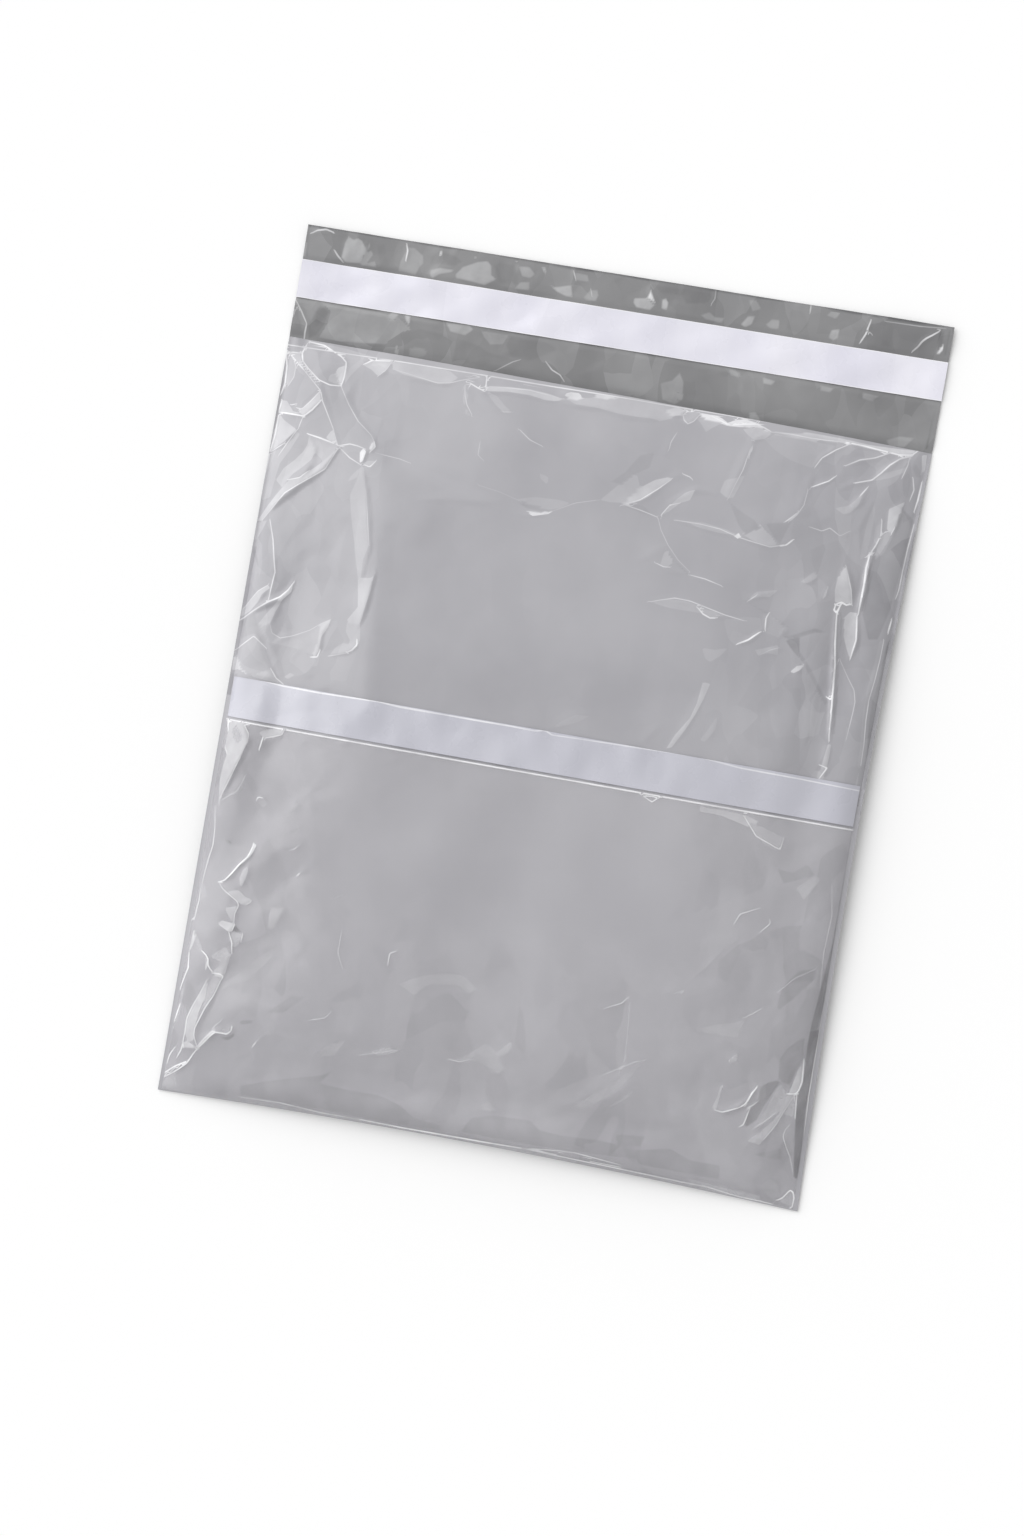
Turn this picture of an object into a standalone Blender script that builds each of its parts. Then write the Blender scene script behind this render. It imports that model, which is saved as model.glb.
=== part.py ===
"""Poly mailer bag with a clear slip pocket on its front, lying on its back with its flap open.

Metres. X runs across the bag, Y from the bottom fold to the flap's free edge, Z up from the
surface that the bag lies on. Every piece is draped over one shared set of lines, so that films
which lie on each other stay parallel.
"""

import math

import bmesh
import bpy

# Bag film: front panel, bottom fold, back panel and flap are one sheet, welded along both sides.
BAG_WIDTH = 0.3556
BODY_LENGTH = 0.4166
FLAP_LENGTH = 0.0660
FILM = 0.00010
SIDE_WELD = 0.0040
FOLD_DEPTH = 0.0008

# Fullness of the bag, and how far its seams rise and draw in because of it.
FULLNESS = 0.0215
MOUTH_OPENING = 0.0075
SIDE_RISE = 0.0070
BOTTOM_RISE = 0.0065
SIDE_RISE_BREADTH = 0.0340
BOTTOM_RISE_BREADTH = 0.0300
SIDE_DRAW = 0.0030
BOTTOM_DRAW = 0.0045
BOTTOM_SLOPE = 0.1300
MOUTH_SLOPE = 0.1700

# Adhesive bands under peel-off liners: one on the flap, one across the front above the pocket.
FLAP_LINER_FROM_EDGE = 0.0190
FLAP_LINER_WIDTH = 0.0210
POCKET_LINER_FROM_EDGE = 0.2510
POCKET_LINER_WIDTH = 0.0220
LINER = 0.00010
ADHESIVE = 0.00015
ADHESIVE_INSET = 0.0020

# Clear pocket: its sides and bottom are welded to the front panel, its top is open.
POCKET_FILM = 0.00008
POCKET_LIP_BELOW_LINER = 0.0012
POCKET_OPENING = 0.0025

# Clearance between films that lie on each other.
SEAT_GAP = 0.0003

# Lines of the shared grid.
HALF_COLUMNS = 11
POCKET_ROWS = 13
PANEL_ROWS = 9
FLAP_ROWS = 2

BAG_LENGTH = BODY_LENGTH + FLAP_LENGTH
HALF_WIDTH = BAG_WIDTH / 2

# Folds and gathers that the fullness presses into the front panel. Each runs between two
# points, given as shares of the half width and of the body's length from the bottom fold,
# with its height and the breadth of each flank.
FRONT_FOLDS = (
    ((-0.92, 0.93), (-0.50, 0.80), 0.0022, 0.0130),
    ((-0.76, 0.96), (-0.60, 0.88), -0.0016, 0.0120),
    ((-0.62, 0.78), (-0.55, 0.55), 0.0020, 0.0110),
    ((-0.86, 0.66), (-0.72, 0.60), -0.0018, 0.0120),
    ((0.92, 0.93), (0.55, 0.86), 0.0022, 0.0130),
    ((0.76, 0.78), (0.74, 0.58), 0.0022, 0.0110),
    ((0.88, 0.80), (0.86, 0.66), -0.0016, 0.0100),
    ((0.36, 0.79), (0.72, 0.72), -0.0012, 0.0150),
    ((-0.90, 0.52), (-0.95, 0.36), 0.0020, 0.0110),
    ((-0.74, 0.36), (-0.93, 0.24), 0.0022, 0.0120),
    ((-0.72, 0.22), (-0.95, 0.12), -0.0020, 0.0120),
    ((-0.80, 0.12), (-0.96, 0.04), 0.0020, 0.0100),
    ((0.78, 0.17), (0.94, 0.04), 0.0024, 0.0120),
    ((0.66, 0.13), (0.84, 0.12), -0.0018, 0.0110),
    ((-0.50, 0.12), (-0.32, 0.03), -0.0016, 0.0140),
    ((-0.06, 0.11), (0.06, 0.02), -0.0018, 0.0150),
    ((0.34, 0.12), (0.44, 0.03), -0.0016, 0.0140),
)
FOLD_FADE = 0.0220


def spread(start, end, steps, power=1.0):
    """Steps + 1 values from start to end, closer together near start when power is over 1."""
    return [start + (end - start) * (i / steps) ** power for i in range(steps + 1)]


def column_lines():
    """Distances from the centre line to each grid column, left to right."""
    weld_line = HALF_WIDTH - SIDE_WELD
    inward = [weld_line - step for step in spread(0.0, weld_line, HALF_COLUMNS, 1.5)]
    right = [HALF_WIDTH] + inward
    return [-value for value in right] + right[-2::-1]


def pocket_liner_span():
    top = BAG_LENGTH - POCKET_LINER_FROM_EDGE
    return top - POCKET_LINER_WIDTH, top


def flap_liner_span():
    top = BAG_LENGTH - FLAP_LINER_FROM_EDGE
    return top - FLAP_LINER_WIDTH, top


def adhesive_span(liner_span):
    return liner_span[0] + ADHESIVE_INSET, liner_span[1] - ADHESIVE_INSET


def pocket_lip():
    return pocket_liner_span()[0] - POCKET_LIP_BELOW_LINER


def strip_rows(liner_span):
    glue = adhesive_span(liner_span)
    return [liner_span[0], glue[0], glue[1], liner_span[1]]


def row_lines():
    """Distances from the bottom fold to each grid row, bottom to top."""
    pocket = spread(FOLD_DEPTH, pocket_lip(), POCKET_ROWS, 1.5)
    panel = spread(pocket_liner_span()[1], BODY_LENGTH, PANEL_ROWS)[1:]
    flap = spread(BODY_LENGTH, flap_liner_span()[0], FLAP_ROWS)[1:-1]
    return (
        [0.0]
        + pocket
        + strip_rows(pocket_liner_span())
        + panel
        + flap
        + strip_rows(flap_liner_span())
        + [BAG_LENGTH]
    )


COLUMNS = column_lines()
ROWS = row_lines()
LAST_COLUMN = len(COLUMNS) - 1
LAST_ROW = len(ROWS) - 1
WELD_COLUMNS = (1, LAST_COLUMN - 1)


def row_at(distance):
    """Index of the grid row that lies at a distance from the bottom fold."""
    return min(range(len(ROWS)), key=lambda j: abs(ROWS[j] - distance))


MOUTH_ROW = row_at(BODY_LENGTH)
FOLD_ROW = row_at(FOLD_DEPTH)


def ease(value):
    """Smooth step from 0 to 1."""
    share = min(max(value, 0.0), 1.0)
    return share * share * (3 - 2 * share)


def swell(distance):
    """0 at the bottom corners and at the mouth, 1 halfway up the body."""
    return math.sin(math.pi * min(max(distance / BODY_LENGTH, 0.0), 1.0))


def dome(across):
    """0 at both ends of the bottom fold, 1 at its middle."""
    return 1 - (across / HALF_WIDTH) ** 2


def plan_point(across, distance):
    """Where a point of the flat film lies in plan once the fullness draws its edges in."""
    near_bottom = ease(1 - distance / BOTTOM_SLOPE)
    x = across * (1 - SIDE_DRAW / HALF_WIDTH * swell(distance))
    y = distance - BAG_LENGTH / 2 + BOTTOM_DRAW * dome(across) * near_bottom
    return x, y


def back_height(across, distance):
    """Underside of the back panel: flat where it lies, rising to the seams."""
    to_side = HALF_WIDTH - abs(across)
    side = SIDE_RISE * swell(distance) * ease(1 - to_side / SIDE_RISE_BREADTH)
    bottom = BOTTOM_RISE * dome(across) * ease(1 - distance / BOTTOM_RISE_BREADTH)
    return max(side, bottom)


def fold_profile(x, y, fold):
    """Height that one fold adds at a point of the front panel."""
    (x0, y0), (x1, y1), height, breadth = fold
    ax, ay = x0 * HALF_WIDTH, y0 * BODY_LENGTH
    bx, by = x1 * HALF_WIDTH, y1 * BODY_LENGTH
    length_squared = (bx - ax) ** 2 + (by - ay) ** 2
    along = ((x - ax) * (bx - ax) + (y - ay) * (by - ay)) / length_squared
    along = min(max(along, 0.0), 1.0)
    away = math.hypot(x - ax - along * (bx - ax), y - ay - along * (by - ay))
    return height * math.exp(-((away / breadth) ** 2))


def fullness(across, distance):
    """Space between the front and back films."""
    weld_line = HALF_WIDTH - SIDE_WELD
    inside = 1 - min(abs(across) / weld_line, 1.0) ** 4
    above_fold = max(distance - FOLD_DEPTH, 0.0)
    rise = 1 - (1 - min(above_fold / BOTTOM_SLOPE, 1.0)) ** 3
    to_mouth = max((distance - BODY_LENGTH + MOUTH_SLOPE) / MOUTH_SLOPE, 0.0)
    body = FULLNESS * rise**0.8 * (1 - to_mouth**2)
    mouth = MOUTH_OPENING * to_mouth**2
    to_weld = min(weld_line - abs(across), above_fold)
    folds = sum(fold_profile(across, distance, fold) for fold in FRONT_FOLDS)
    return (body + mouth) * inside**0.75 + folds * ease(to_weld / FOLD_FADE)


def back_inside(across, distance):
    return back_height(across, distance) + FILM


def front_inside(across, distance):
    return back_inside(across, distance) + fullness(across, distance)


def front_outside(across, distance):
    return front_inside(across, distance) + FILM


def pocket_inside(across, distance):
    """Underside of the pocket's film: on the front panel at its welds, clear of it elsewhere."""
    half_mouth = HALF_WIDTH - SIDE_WELD
    spread_across = max(1 - (across / half_mouth) ** 2, 0.0)
    slack = POCKET_OPENING * spread_across * ease(distance / pocket_lip())
    return front_outside(across, distance) + SEAT_GAP + slack


def raised(surface, height):
    """The same surface at a height above itself."""
    return lambda across, distance: surface(across, distance) + height


def drape(mesh, surface, columns, rows):
    """Vertices of a surface at grid columns and rows, by column and row index."""
    points = {}
    for i in columns:
        for j in rows:
            x, y = plan_point(COLUMNS[i], ROWS[j])
            points[i, j] = mesh.verts.new((x, y, surface(COLUMNS[i], ROWS[j])))
    return points


def skin(mesh, points, columns, rows, faces_up):
    """Faces of a draped surface between its grid lines."""
    for i in columns[:-1]:
        for j in rows[:-1]:
            corners = [points[i, j], points[i + 1, j], points[i + 1, j + 1], points[i, j + 1]]
            if not faces_up:
                corners[1], corners[3] = corners[3], corners[1]
            mesh.faces.new(corners)


def wall(mesh, lower, upper, path):
    """Faces between two surfaces along grid points, with the outside on the path's right."""
    for start, end in zip(path, path[1:]):
        corners = [lower[start], lower[end], upper[end], upper[start]]
        mesh.faces.new(list(dict.fromkeys(corners)))


def rim(columns, rows):
    """Grid points around a patch, counter-clockwise seen from above."""
    bottom = [(i, rows[0]) for i in columns]
    right = [(columns[-1], j) for j in rows[1:]]
    top = [(i, rows[-1]) for i in columns[-2::-1]]
    left = [(columns[0], j) for j in rows[-2::-1]]
    return bottom + right + top + left


def material(name, colour, roughness, alpha=1.0):
    made = bpy.data.materials.new(name)
    made.use_nodes = True
    shader = made.node_tree.nodes["Principled BSDF"]
    shader.inputs["Base Color"].default_value = (*colour, 1.0)
    shader.inputs["Roughness"].default_value = roughness
    shader.inputs["Metallic"].default_value = 0.0
    shader.inputs["Alpha"].default_value = alpha
    return made


def add_object(name, mesh, finish):
    data = bpy.data.meshes.new(name)
    mesh.to_mesh(data)
    mesh.free()
    data.materials.append(finish)
    made = bpy.data.objects.new(name, data)
    bpy.context.scene.collection.objects.link(made)
    return made


def add_sheet(name, surface, thickness, columns, rows, finish):
    """A film draped over a surface, as a closed solid."""
    mesh = bmesh.new()
    lower = drape(mesh, surface, columns, rows)
    upper = drape(mesh, raised(surface, thickness), columns, rows)
    skin(mesh, lower, columns, rows, faces_up=False)
    skin(mesh, upper, columns, rows, faces_up=True)
    wall(mesh, lower, upper, rim(columns, rows))
    return add_object(name, mesh, finish)


def add_bag_film(finish):
    """Front panel, bottom fold, back panel and flap in one hollow piece with an open mouth."""
    mesh = bmesh.new()
    everywhere = list(range(LAST_COLUMN + 1))
    inside = list(range(WELD_COLUMNS[0], WELD_COLUMNS[1] + 1))
    body = list(range(MOUTH_ROW + 1))
    pouch = list(range(FOLD_ROW, MOUTH_ROW + 1))
    flap = list(range(MOUTH_ROW, LAST_ROW + 1))
    under = drape(mesh, back_height, everywhere, body + flap[1:])
    over = drape(mesh, front_outside, everywhere, body)
    floor = drape(mesh, back_inside, everywhere, body + flap[1:])
    lining = drape(mesh, front_inside, inside[1:-1], pouch[1:])
    for key in [(i, FOLD_ROW) for i in inside] + [(i, j) for i in WELD_COLUMNS for j in pouch]:
        lining[key] = floor[key]

    skin(mesh, under, everywhere, body + flap[1:], faces_up=False)
    skin(mesh, over, everywhere, body, faces_up=True)
    skin(mesh, floor, inside, pouch, faces_up=True)
    skin(mesh, lining, inside, pouch, faces_up=False)
    skin(mesh, floor, everywhere, flap, faces_up=True)

    outer_edge = rim(everywhere, body + flap[1:])
    wall(mesh, under, floor, outer_edge)
    seams = [(0, j) for j in body[::-1]] + [(i, 0) for i in everywhere[1:]]
    seams += [(LAST_COLUMN, j) for j in body[1:]]
    wall(mesh, floor, over, seams)
    mouth = [(i, MOUTH_ROW) for i in everywhere[::-1]]
    wall(mesh, {**floor, **lining}, over, mouth)
    loose = [vertex for vertex in mesh.verts if not vertex.link_faces]
    bmesh.ops.delete(mesh, geom=loose, context="VERTS")
    return add_object("bag_film", mesh, finish)


def add_pocket_film(finish):
    columns = list(range(1, LAST_COLUMN))
    rows = list(range(FOLD_ROW, row_at(pocket_lip()) + 1))
    return add_sheet("pocket_film", pocket_inside, POCKET_FILM, columns, rows, finish)


def add_adhesive(name, surface, liner_span, columns, finish):
    bottom, top = adhesive_span(liner_span)
    rows = list(range(row_at(bottom), row_at(top) + 1))
    return add_sheet(name, raised(surface, SEAT_GAP), ADHESIVE, columns, rows, finish)


def add_liner(name, surface, liner_span, columns, finish):
    rows = list(range(row_at(liner_span[0]), row_at(liner_span[1]) + 1))
    lift = SEAT_GAP + ADHESIVE + SEAT_GAP
    return add_sheet(name, raised(surface, lift), LINER, columns, rows, finish)


def main():
    for old in list(bpy.data.objects):
        bpy.data.objects.remove(old, do_unlink=True)
    film = material("grey_film", (0.42, 0.41, 0.44), 0.25)
    clear = material("clear_film", (0.80, 0.80, 0.84), 0.10, alpha=0.25)
    glue = material("hot_melt_adhesive", (0.75, 0.72, 0.60), 0.35)
    paper = material("release_liner", (0.80, 0.79, 0.87), 0.20)

    full_width = list(range(LAST_COLUMN + 1))
    between_welds = full_width[1:-1]
    short_of_right_weld = full_width[:-1]
    add_bag_film(film)
    add_pocket_film(clear)
    add_adhesive("flap_adhesive", back_inside, flap_liner_span(), between_welds, glue)
    add_liner("flap_liner", back_inside, flap_liner_span(), full_width, paper)
    add_adhesive("pocket_adhesive", front_outside, pocket_liner_span(), between_welds, glue)
    add_liner("pocket_liner", front_outside, pocket_liner_span(), short_of_right_weld, paper)


main()
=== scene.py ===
"""Looks of the poly mailer bag: creased grey film, clear slip pocket and two peel-off liners.

Metres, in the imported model's frame: X across the bag, Y from the bottom fold to the flap's free
edge, Z up from the surface that the bag lies on. Crease paths are points of the photograph,
which the camera below carries onto the bag.
"""

import functools
import math

import bpy
import numpy as np
from mathutils import Matrix, Vector, geometry


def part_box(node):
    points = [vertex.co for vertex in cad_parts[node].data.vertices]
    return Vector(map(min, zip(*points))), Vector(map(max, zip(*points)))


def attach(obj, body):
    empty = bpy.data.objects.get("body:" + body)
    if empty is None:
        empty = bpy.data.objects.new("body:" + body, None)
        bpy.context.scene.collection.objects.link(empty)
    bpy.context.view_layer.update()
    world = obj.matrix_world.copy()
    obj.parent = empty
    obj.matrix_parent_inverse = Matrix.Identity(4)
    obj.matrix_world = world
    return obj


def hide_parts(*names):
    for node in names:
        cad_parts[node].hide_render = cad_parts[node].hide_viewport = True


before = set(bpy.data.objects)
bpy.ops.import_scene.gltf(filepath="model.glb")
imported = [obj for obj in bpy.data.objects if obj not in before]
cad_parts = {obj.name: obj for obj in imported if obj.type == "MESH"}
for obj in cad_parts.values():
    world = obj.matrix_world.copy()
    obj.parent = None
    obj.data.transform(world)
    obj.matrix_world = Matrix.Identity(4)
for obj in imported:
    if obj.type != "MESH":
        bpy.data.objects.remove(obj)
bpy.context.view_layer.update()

MM = 0.001

# Sizes that the solids give.
BAG_LOW, BAG_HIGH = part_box("bag_film")
POCKET_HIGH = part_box("pocket_film")[1]
FLAP_LINER_LOW, FLAP_LINER_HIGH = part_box("flap_liner")
POCKET_LINER_LOW, POCKET_LINER_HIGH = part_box("pocket_liner")
BOTTOM_EDGE = BAG_LOW[1]
POCKET_LIP = POCKET_HIGH[1] - BOTTOM_EDGE
BAG_LENGTH = BAG_HIGH[1] - BAG_LOW[1]
HALF_WIDTH = BAG_HIGH[0]

# Sizes of the bag's film and form, as in the solids.
FLAP_LENGTH = 66.0 * MM
BODY_LENGTH = BAG_LENGTH - FLAP_LENGTH
FILM = 0.10 * MM
SIDE_WELD = 2.2 * MM
INSIDE_WELD = HALF_WIDTH - SIDE_WELD
FULLNESS = 21.5 * MM
MOUTH_OPENING = 7.5 * MM
SIDE_RISE = 7.0 * MM
BOTTOM_RISE = 6.5 * MM
SIDE_RISE_BREADTH = 34.0 * MM
BOTTOM_RISE_BREADTH = 30.0 * MM
LEFT_DRAW = 1.2 * MM
RIGHT_DRAW = 4.2 * MM
BOTTOM_DRAW = 4.5 * MM
BOTTOM_SLOPE = 130.0 * MM
MOUTH_SLOPE = 170.0 * MM
FOLD_RADIUS = 0.45 * MM
BOTTOM_ROUND = 2.6 * MM
BOTTOM_TURN = 5.0 * MM

# Films and bands that lie on the bag.
POCKET_FILM = 0.08 * MM
POCKET_SLACK = 1.6 * MM
LINER = 0.12 * MM
ADHESIVE = 0.15 * MM
RESTING_GAP = 0.06 * MM

# The photograph's frame and the camera that took it, worked out from the bag's four corners.
PHOTO_SIZE = (1024, 1536)
FOCAL_PIXELS = 2500
SENSOR = 36.0
CAMERA_PLACE = Vector((0.100, -0.015, 1.357))
CAMERA_VIEW = Vector((-0.085, -0.013, -0.9963)).normalized()
CAMERA_UP = Vector((-0.174, 0.985, 0.002))
CAMERA_RIGHT = CAMERA_VIEW.cross(CAMERA_UP).normalized()
CAMERA_TOP = CAMERA_RIGHT.cross(CAMERA_VIEW)

# Broad folds of the front panel, as in the solids: two ends as shares of the half width and
# of the body's length, then the height and the breadth of a flank.
BROAD_FOLDS = (
    ((-0.92, 0.93), (-0.50, 0.80), 2.2, 13.0),
    ((-0.76, 0.96), (-0.60, 0.88), -1.6, 12.0),
    ((-0.62, 0.78), (-0.55, 0.55), 2.0, 11.0),
    ((-0.86, 0.66), (-0.72, 0.60), -1.8, 12.0),
    ((0.92, 0.93), (0.55, 0.86), 2.2, 13.0),
    ((0.76, 0.78), (0.74, 0.58), 2.2, 11.0),
    ((0.88, 0.80), (0.86, 0.66), -1.6, 10.0),
    ((0.36, 0.79), (0.72, 0.72), -1.2, 15.0),
    ((-0.90, 0.52), (-0.95, 0.36), 2.0, 11.0),
    ((-0.74, 0.36), (-0.93, 0.24), 2.2, 12.0),
    ((-0.72, 0.22), (-0.95, 0.12), -2.0, 12.0),
    ((-0.80, 0.12), (-0.96, 0.04), 2.0, 10.0),
    ((0.78, 0.17), (0.94, 0.04), 2.4, 12.0),
    ((0.66, 0.13), (0.84, 0.12), -1.8, 11.0),
    ((-0.50, 0.12), (-0.32, 0.03), -1.6, 14.0),
    ((-0.06, 0.11), (0.06, 0.02), -1.8, 15.0),
    ((0.34, 0.12), (0.44, 0.03), -1.6, 14.0),
)
FOLD_FADE = 22.0 * MM

# How much of the broad folds' height is kept, since traced creases lie on them here.
BROAD_SHARE = 0.5

# Creases, area by area. Each is a crest through points of the photograph, listed so that its
# lit flank lies on the left of the way along it, then its height and the widths of its lit and
# shaded flanks in millimetres. A negative height makes a valley.
UPPER_LEFT_CREASES = (
    (((306, 346), (302, 356), (304, 363), (320, 379), (331, 385), (341, 386)), 0.5, 1.6, 1.6),
    (((341, 386), (346, 364), (341, 357), (325, 346), (308, 341)), 0.5, 1.6, 1.8),
    (((338, 447), (330, 420), (320, 390), (303, 368), (286, 350)), 0.7, 6.0, 3.0),
    (((374, 446), (372, 438), (360, 425), (350, 405), (341, 386)), 0.6, 5.0, 3.0),
    (((308, 434), (338, 446)), 0.7, 3.0, 1.5),
    (((281, 395), (285, 385), (286, 365), (285, 350)), 0.8, 2.5, 2.0),
    (((303, 417), (312, 408), (321, 400)), 1.2, 5.0, 1.6),
    (((279, 411), (303, 416)), 1.0, 5.0, 2.0),
    (((270, 453), (283, 443), (297, 430)), 1.4, 8.0, 2.0),
    (((285, 482), (300, 477), (312, 463), (315, 448), (308, 434)), 1.2, 6.0, 3.0),
    (((262, 518), (280, 500), (298, 486), (322, 469), (339, 449)), 1.8, 9.0, 2.5),
    (((361, 465), (367, 450)), 1.0, 2.5, 1.5),
    (((369, 452), (374, 446), (374, 438)), 0.8, 1.8, 1.5),
    (((340, 449), (350, 458), (361, 465)), 0.5, 1.8, 1.8),
    (((362, 578), (369, 545), (367, 515), (366, 490), (362, 468)), 1.1, 8.0, 3.0),
    (((360, 624), (366, 606), (370, 590), (375, 575)), 1.4, 8.0, 2.0),
    (((330, 655), (347, 652), (355, 647), (358, 639)), 0.9, 4.0, 1.6),
    (((315, 658), (320, 645), (322, 632), (331, 620)), 1.1, 5.0, 2.0),
    (((240, 621), (258, 608), (281, 599), (290, 590), (294, 581)), 1.3, 3.5, 2.0),
    (((271, 624), (276, 612), (281, 601)), 1.0, 5.0, 2.0),
    (((268, 601), (273, 582), (274, 560), (272, 535), (270, 520)), 0.6, 2.0, 1.8),
    (((241, 618), (256, 604), (268, 588)), 1.0, 5.0, 2.0),
    (((270, 626), (277, 638), (300, 634), (318, 625)), 0.4, 2.5, 2.5),
    (((246, 673), (264, 677), (282, 684)), 1.0, 5.0, 1.6),
    (((281, 682), (272, 665), (265, 646), (256, 626)), -1.0, 3.0, 3.0),
    (((234, 651), (243, 642), (254, 636), (265, 645)), 0.6, 2.0, 2.0),
    (((290, 659), (300, 648), (313, 656)), 0.4, 3.0, 3.0),
)
UPPER_RIGHT_CREASES = (
    (((812, 487), (829, 481), (836, 476)), 0.7, 2.0, 1.5),
    (((814, 468), (822, 457), (836, 449), (850, 443)), 0.6, 2.2, 2.2),
    (((844, 466), (858, 461), (875, 458), (889, 454)), 0.7, 2.0, 2.0),
    (((871, 481), (886, 470), (902, 458), (914, 455)), 0.9, 2.6, 1.8),
    (((838, 490), (855, 483), (872, 480)), 0.7, 3.0, 2.0),
    (((846, 514), (860, 503), (868, 488)), 0.9, 4.0, 2.0),
    (((903, 479), (907, 470), (908, 458)), 0.5, 1.8, 1.8),
    (((911, 498), (914, 490), (913, 478)), 0.5, 1.8, 1.8),
    (((893, 533), (898, 518), (904, 503)), 1.5, 6.5, 2.0),
    (((872, 553), (880, 538), (882, 520)), 1.2, 1.8, 1.6),
    (((857, 616), (865, 590), (867, 575), (872, 553)), 1.8, 3.0, 1.8),
    (((852, 602), (850, 582), (846, 566)), 1.5, 7.0, 2.0),
    (((835, 605), (841, 603), (852, 606)), 0.8, 2.0, 1.5),
    (((829, 741), (831, 715), (833, 690), (834, 660), (835, 630), (837, 612)), 2.0, 2.6, 2.0),
    (((850, 659), (856, 645), (858, 620)), 1.4, 6.0, 1.8),
    (((824, 769), (827, 757), (830, 744)), 1.2, 4.5, 1.8),
    (((820, 783), (823, 775), (828, 768)), 0.9, 3.5, 1.8),
    (((853, 714), (855, 700), (850, 684), (842, 665)), 0.7, 3.0, 3.0),
    (((828, 705), (815, 685), (803, 662), (795, 645)), -0.9, 4.5, 4.5),
    (((830, 633), (815, 632), (800, 634), (780, 625), (746, 602)), -0.7, 3.0, 3.0),
    (((738, 644), (752, 639), (762, 631)), 0.8, 2.0, 1.6),
    (((765, 632), (765, 622), (767, 613)), 0.7, 2.2, 1.6),
    (((748, 600), (760, 596), (778, 591)), 0.7, 3.5, 1.6),
    (((779, 638), (788, 629), (800, 634)), 0.6, 3.0, 2.0),
    (((803, 584), (812, 581), (818, 576)), 0.8, 4.0, 1.6),
    (((822, 599), (826, 593), (828, 587)), 0.7, 2.2, 1.5),
    (((793, 673), (799, 671), (804, 666)), 0.6, 2.4, 1.4),
    (((650, 601), (668, 599), (690, 603), (720, 617), (745, 622)), 0.5, 3.5, 2.5),
    (((690, 575), (705, 580), (725, 586)), 0.45, 2.5, 2.0),
    (((660, 564), (668, 570), (690, 575)), 0.4, 2.2, 2.0),
    (((675, 520), (705, 528), (740, 537), (765, 546), (785, 544), (793, 538)), 0.7, 3.5, 2.0),
    (((626, 505), (642, 500), (656, 490), (672, 478)), 0.6, 4.0, 2.2),
    (((660, 516), (672, 503), (695, 490), (712, 492), (727, 499)), 0.6, 3.0, 2.2),
    (((727, 499), (737, 478), (745, 462), (752, 440)), 0.7, 5.0, 3.0),
    (((700, 609), (706, 615), (715, 618)), 0.4, 1.6, 1.6),
    (((760, 655), (770, 651), (785, 648)), 0.35, 2.0, 2.0),
    (((668, 749), (683, 733), (695, 712), (707, 686)), 0.7, 4.5, 1.8),
    (((803, 746), (810, 730), (815, 700), (822, 680)), 0.7, 5.0, 3.0),
    (((860, 768), (865, 735), (867, 702), (876, 678), (885, 645), (892, 620)), 1.0, 3.0, 3.5),
    (((893, 600), (899, 580), (906, 555), (913, 525)), 0.8, 2.5, 2.5),
    (((861, 552), (858, 530), (868, 510), (874, 500)), 0.8, 5.0, 3.0),
    (((800, 508), (806, 495), (812, 475)), 0.6, 5.0, 2.5),
    (((828, 512), (815, 516), (793, 520)), -0.4, 4.0, 4.0),
    (((820, 532), (832, 528), (842, 536), (855, 531)), 0.4, 2.5, 2.0),
)
MIDDLE_CREASES = (
    (((525, 515), (538, 515), (551, 512)), 0.5, 2.4, 1.4),
    (((551, 511), (520, 505), (480, 490), (440, 475), (400, 461), (376, 452)), -0.5, 6.0, 6.0),
    (((420, 500), (450, 499), (500, 503)), 0.35, 6.0, 3.0),
    (((536, 446), (528, 436), (522, 428)), 0.35, 2.5, 2.5),
    (((482, 458), (482, 449), (479, 440)), 0.3, 2.5, 2.5),
    (((664, 460), (668, 447), (673, 437)), 0.4, 2.5, 2.0),
    (((690, 478), (680, 474), (668, 480)), 0.3, 2.5, 2.5),
    (((550, 730), (570, 718), (590, 712)), 0.4, 5.0, 3.0),
    (((640, 745), (652, 733), (662, 724)), 0.35, 4.0, 2.5),
    (((705, 742), (712, 733), (716, 720)), 0.4, 4.0, 2.0),
    (((640, 560), (655, 552), (668, 545)), 0.35, 4.0, 4.0),
    (((470, 405), (468, 395), (466, 385)), 0.4, 2.0, 2.0),
    (((505, 412), (492, 405), (478, 396)), 0.5, 4.0, 2.0),
)
MOUTH_CREASES = (
    (((360, 364), (368, 359), (391, 361)), 0.8, 3.0, 1.6),
    (((375, 376), (384, 373), (391, 362)), 0.6, 5.0, 2.0),
    (((391, 372), (425, 380), (445, 384), (462, 379)), 0.6, 5.0, 2.5),
    (((471, 383), (485, 392), (510, 391), (540, 398), (555, 401)), 0.8, 4.0, 2.0),
    (((484, 391), (487, 374)), 0.7, 1.6, 1.6),
    (((560, 395), (568, 392), (578, 394)), 0.7, 3.0, 1.6),
    (((558, 400), (575, 405), (600, 407), (630, 417), (660, 420)), 0.8, 5.0, 2.5),
    (((667, 414), (676, 416), (684, 413)), 0.8, 4.0, 1.6),
    (((684, 414), (688, 422), (700, 414)), 0.7, 3.0, 1.6),
    (((702, 421), (715, 421), (730, 424), (758, 424), (768, 430)), 0.8, 4.0, 1.6),
    (((740, 428), (754, 440), (770, 432)), 0.7, 3.0, 2.0),
    (((770, 431), (800, 437), (822, 440)), 0.7, 3.5, 1.8),
    (((748, 456), (753, 447), (754, 440)), 0.4, 1.8, 1.8),
    (((845, 441), (870, 449), (900, 455), (918, 451)), 0.8, 3.0, 1.6),
)
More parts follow.
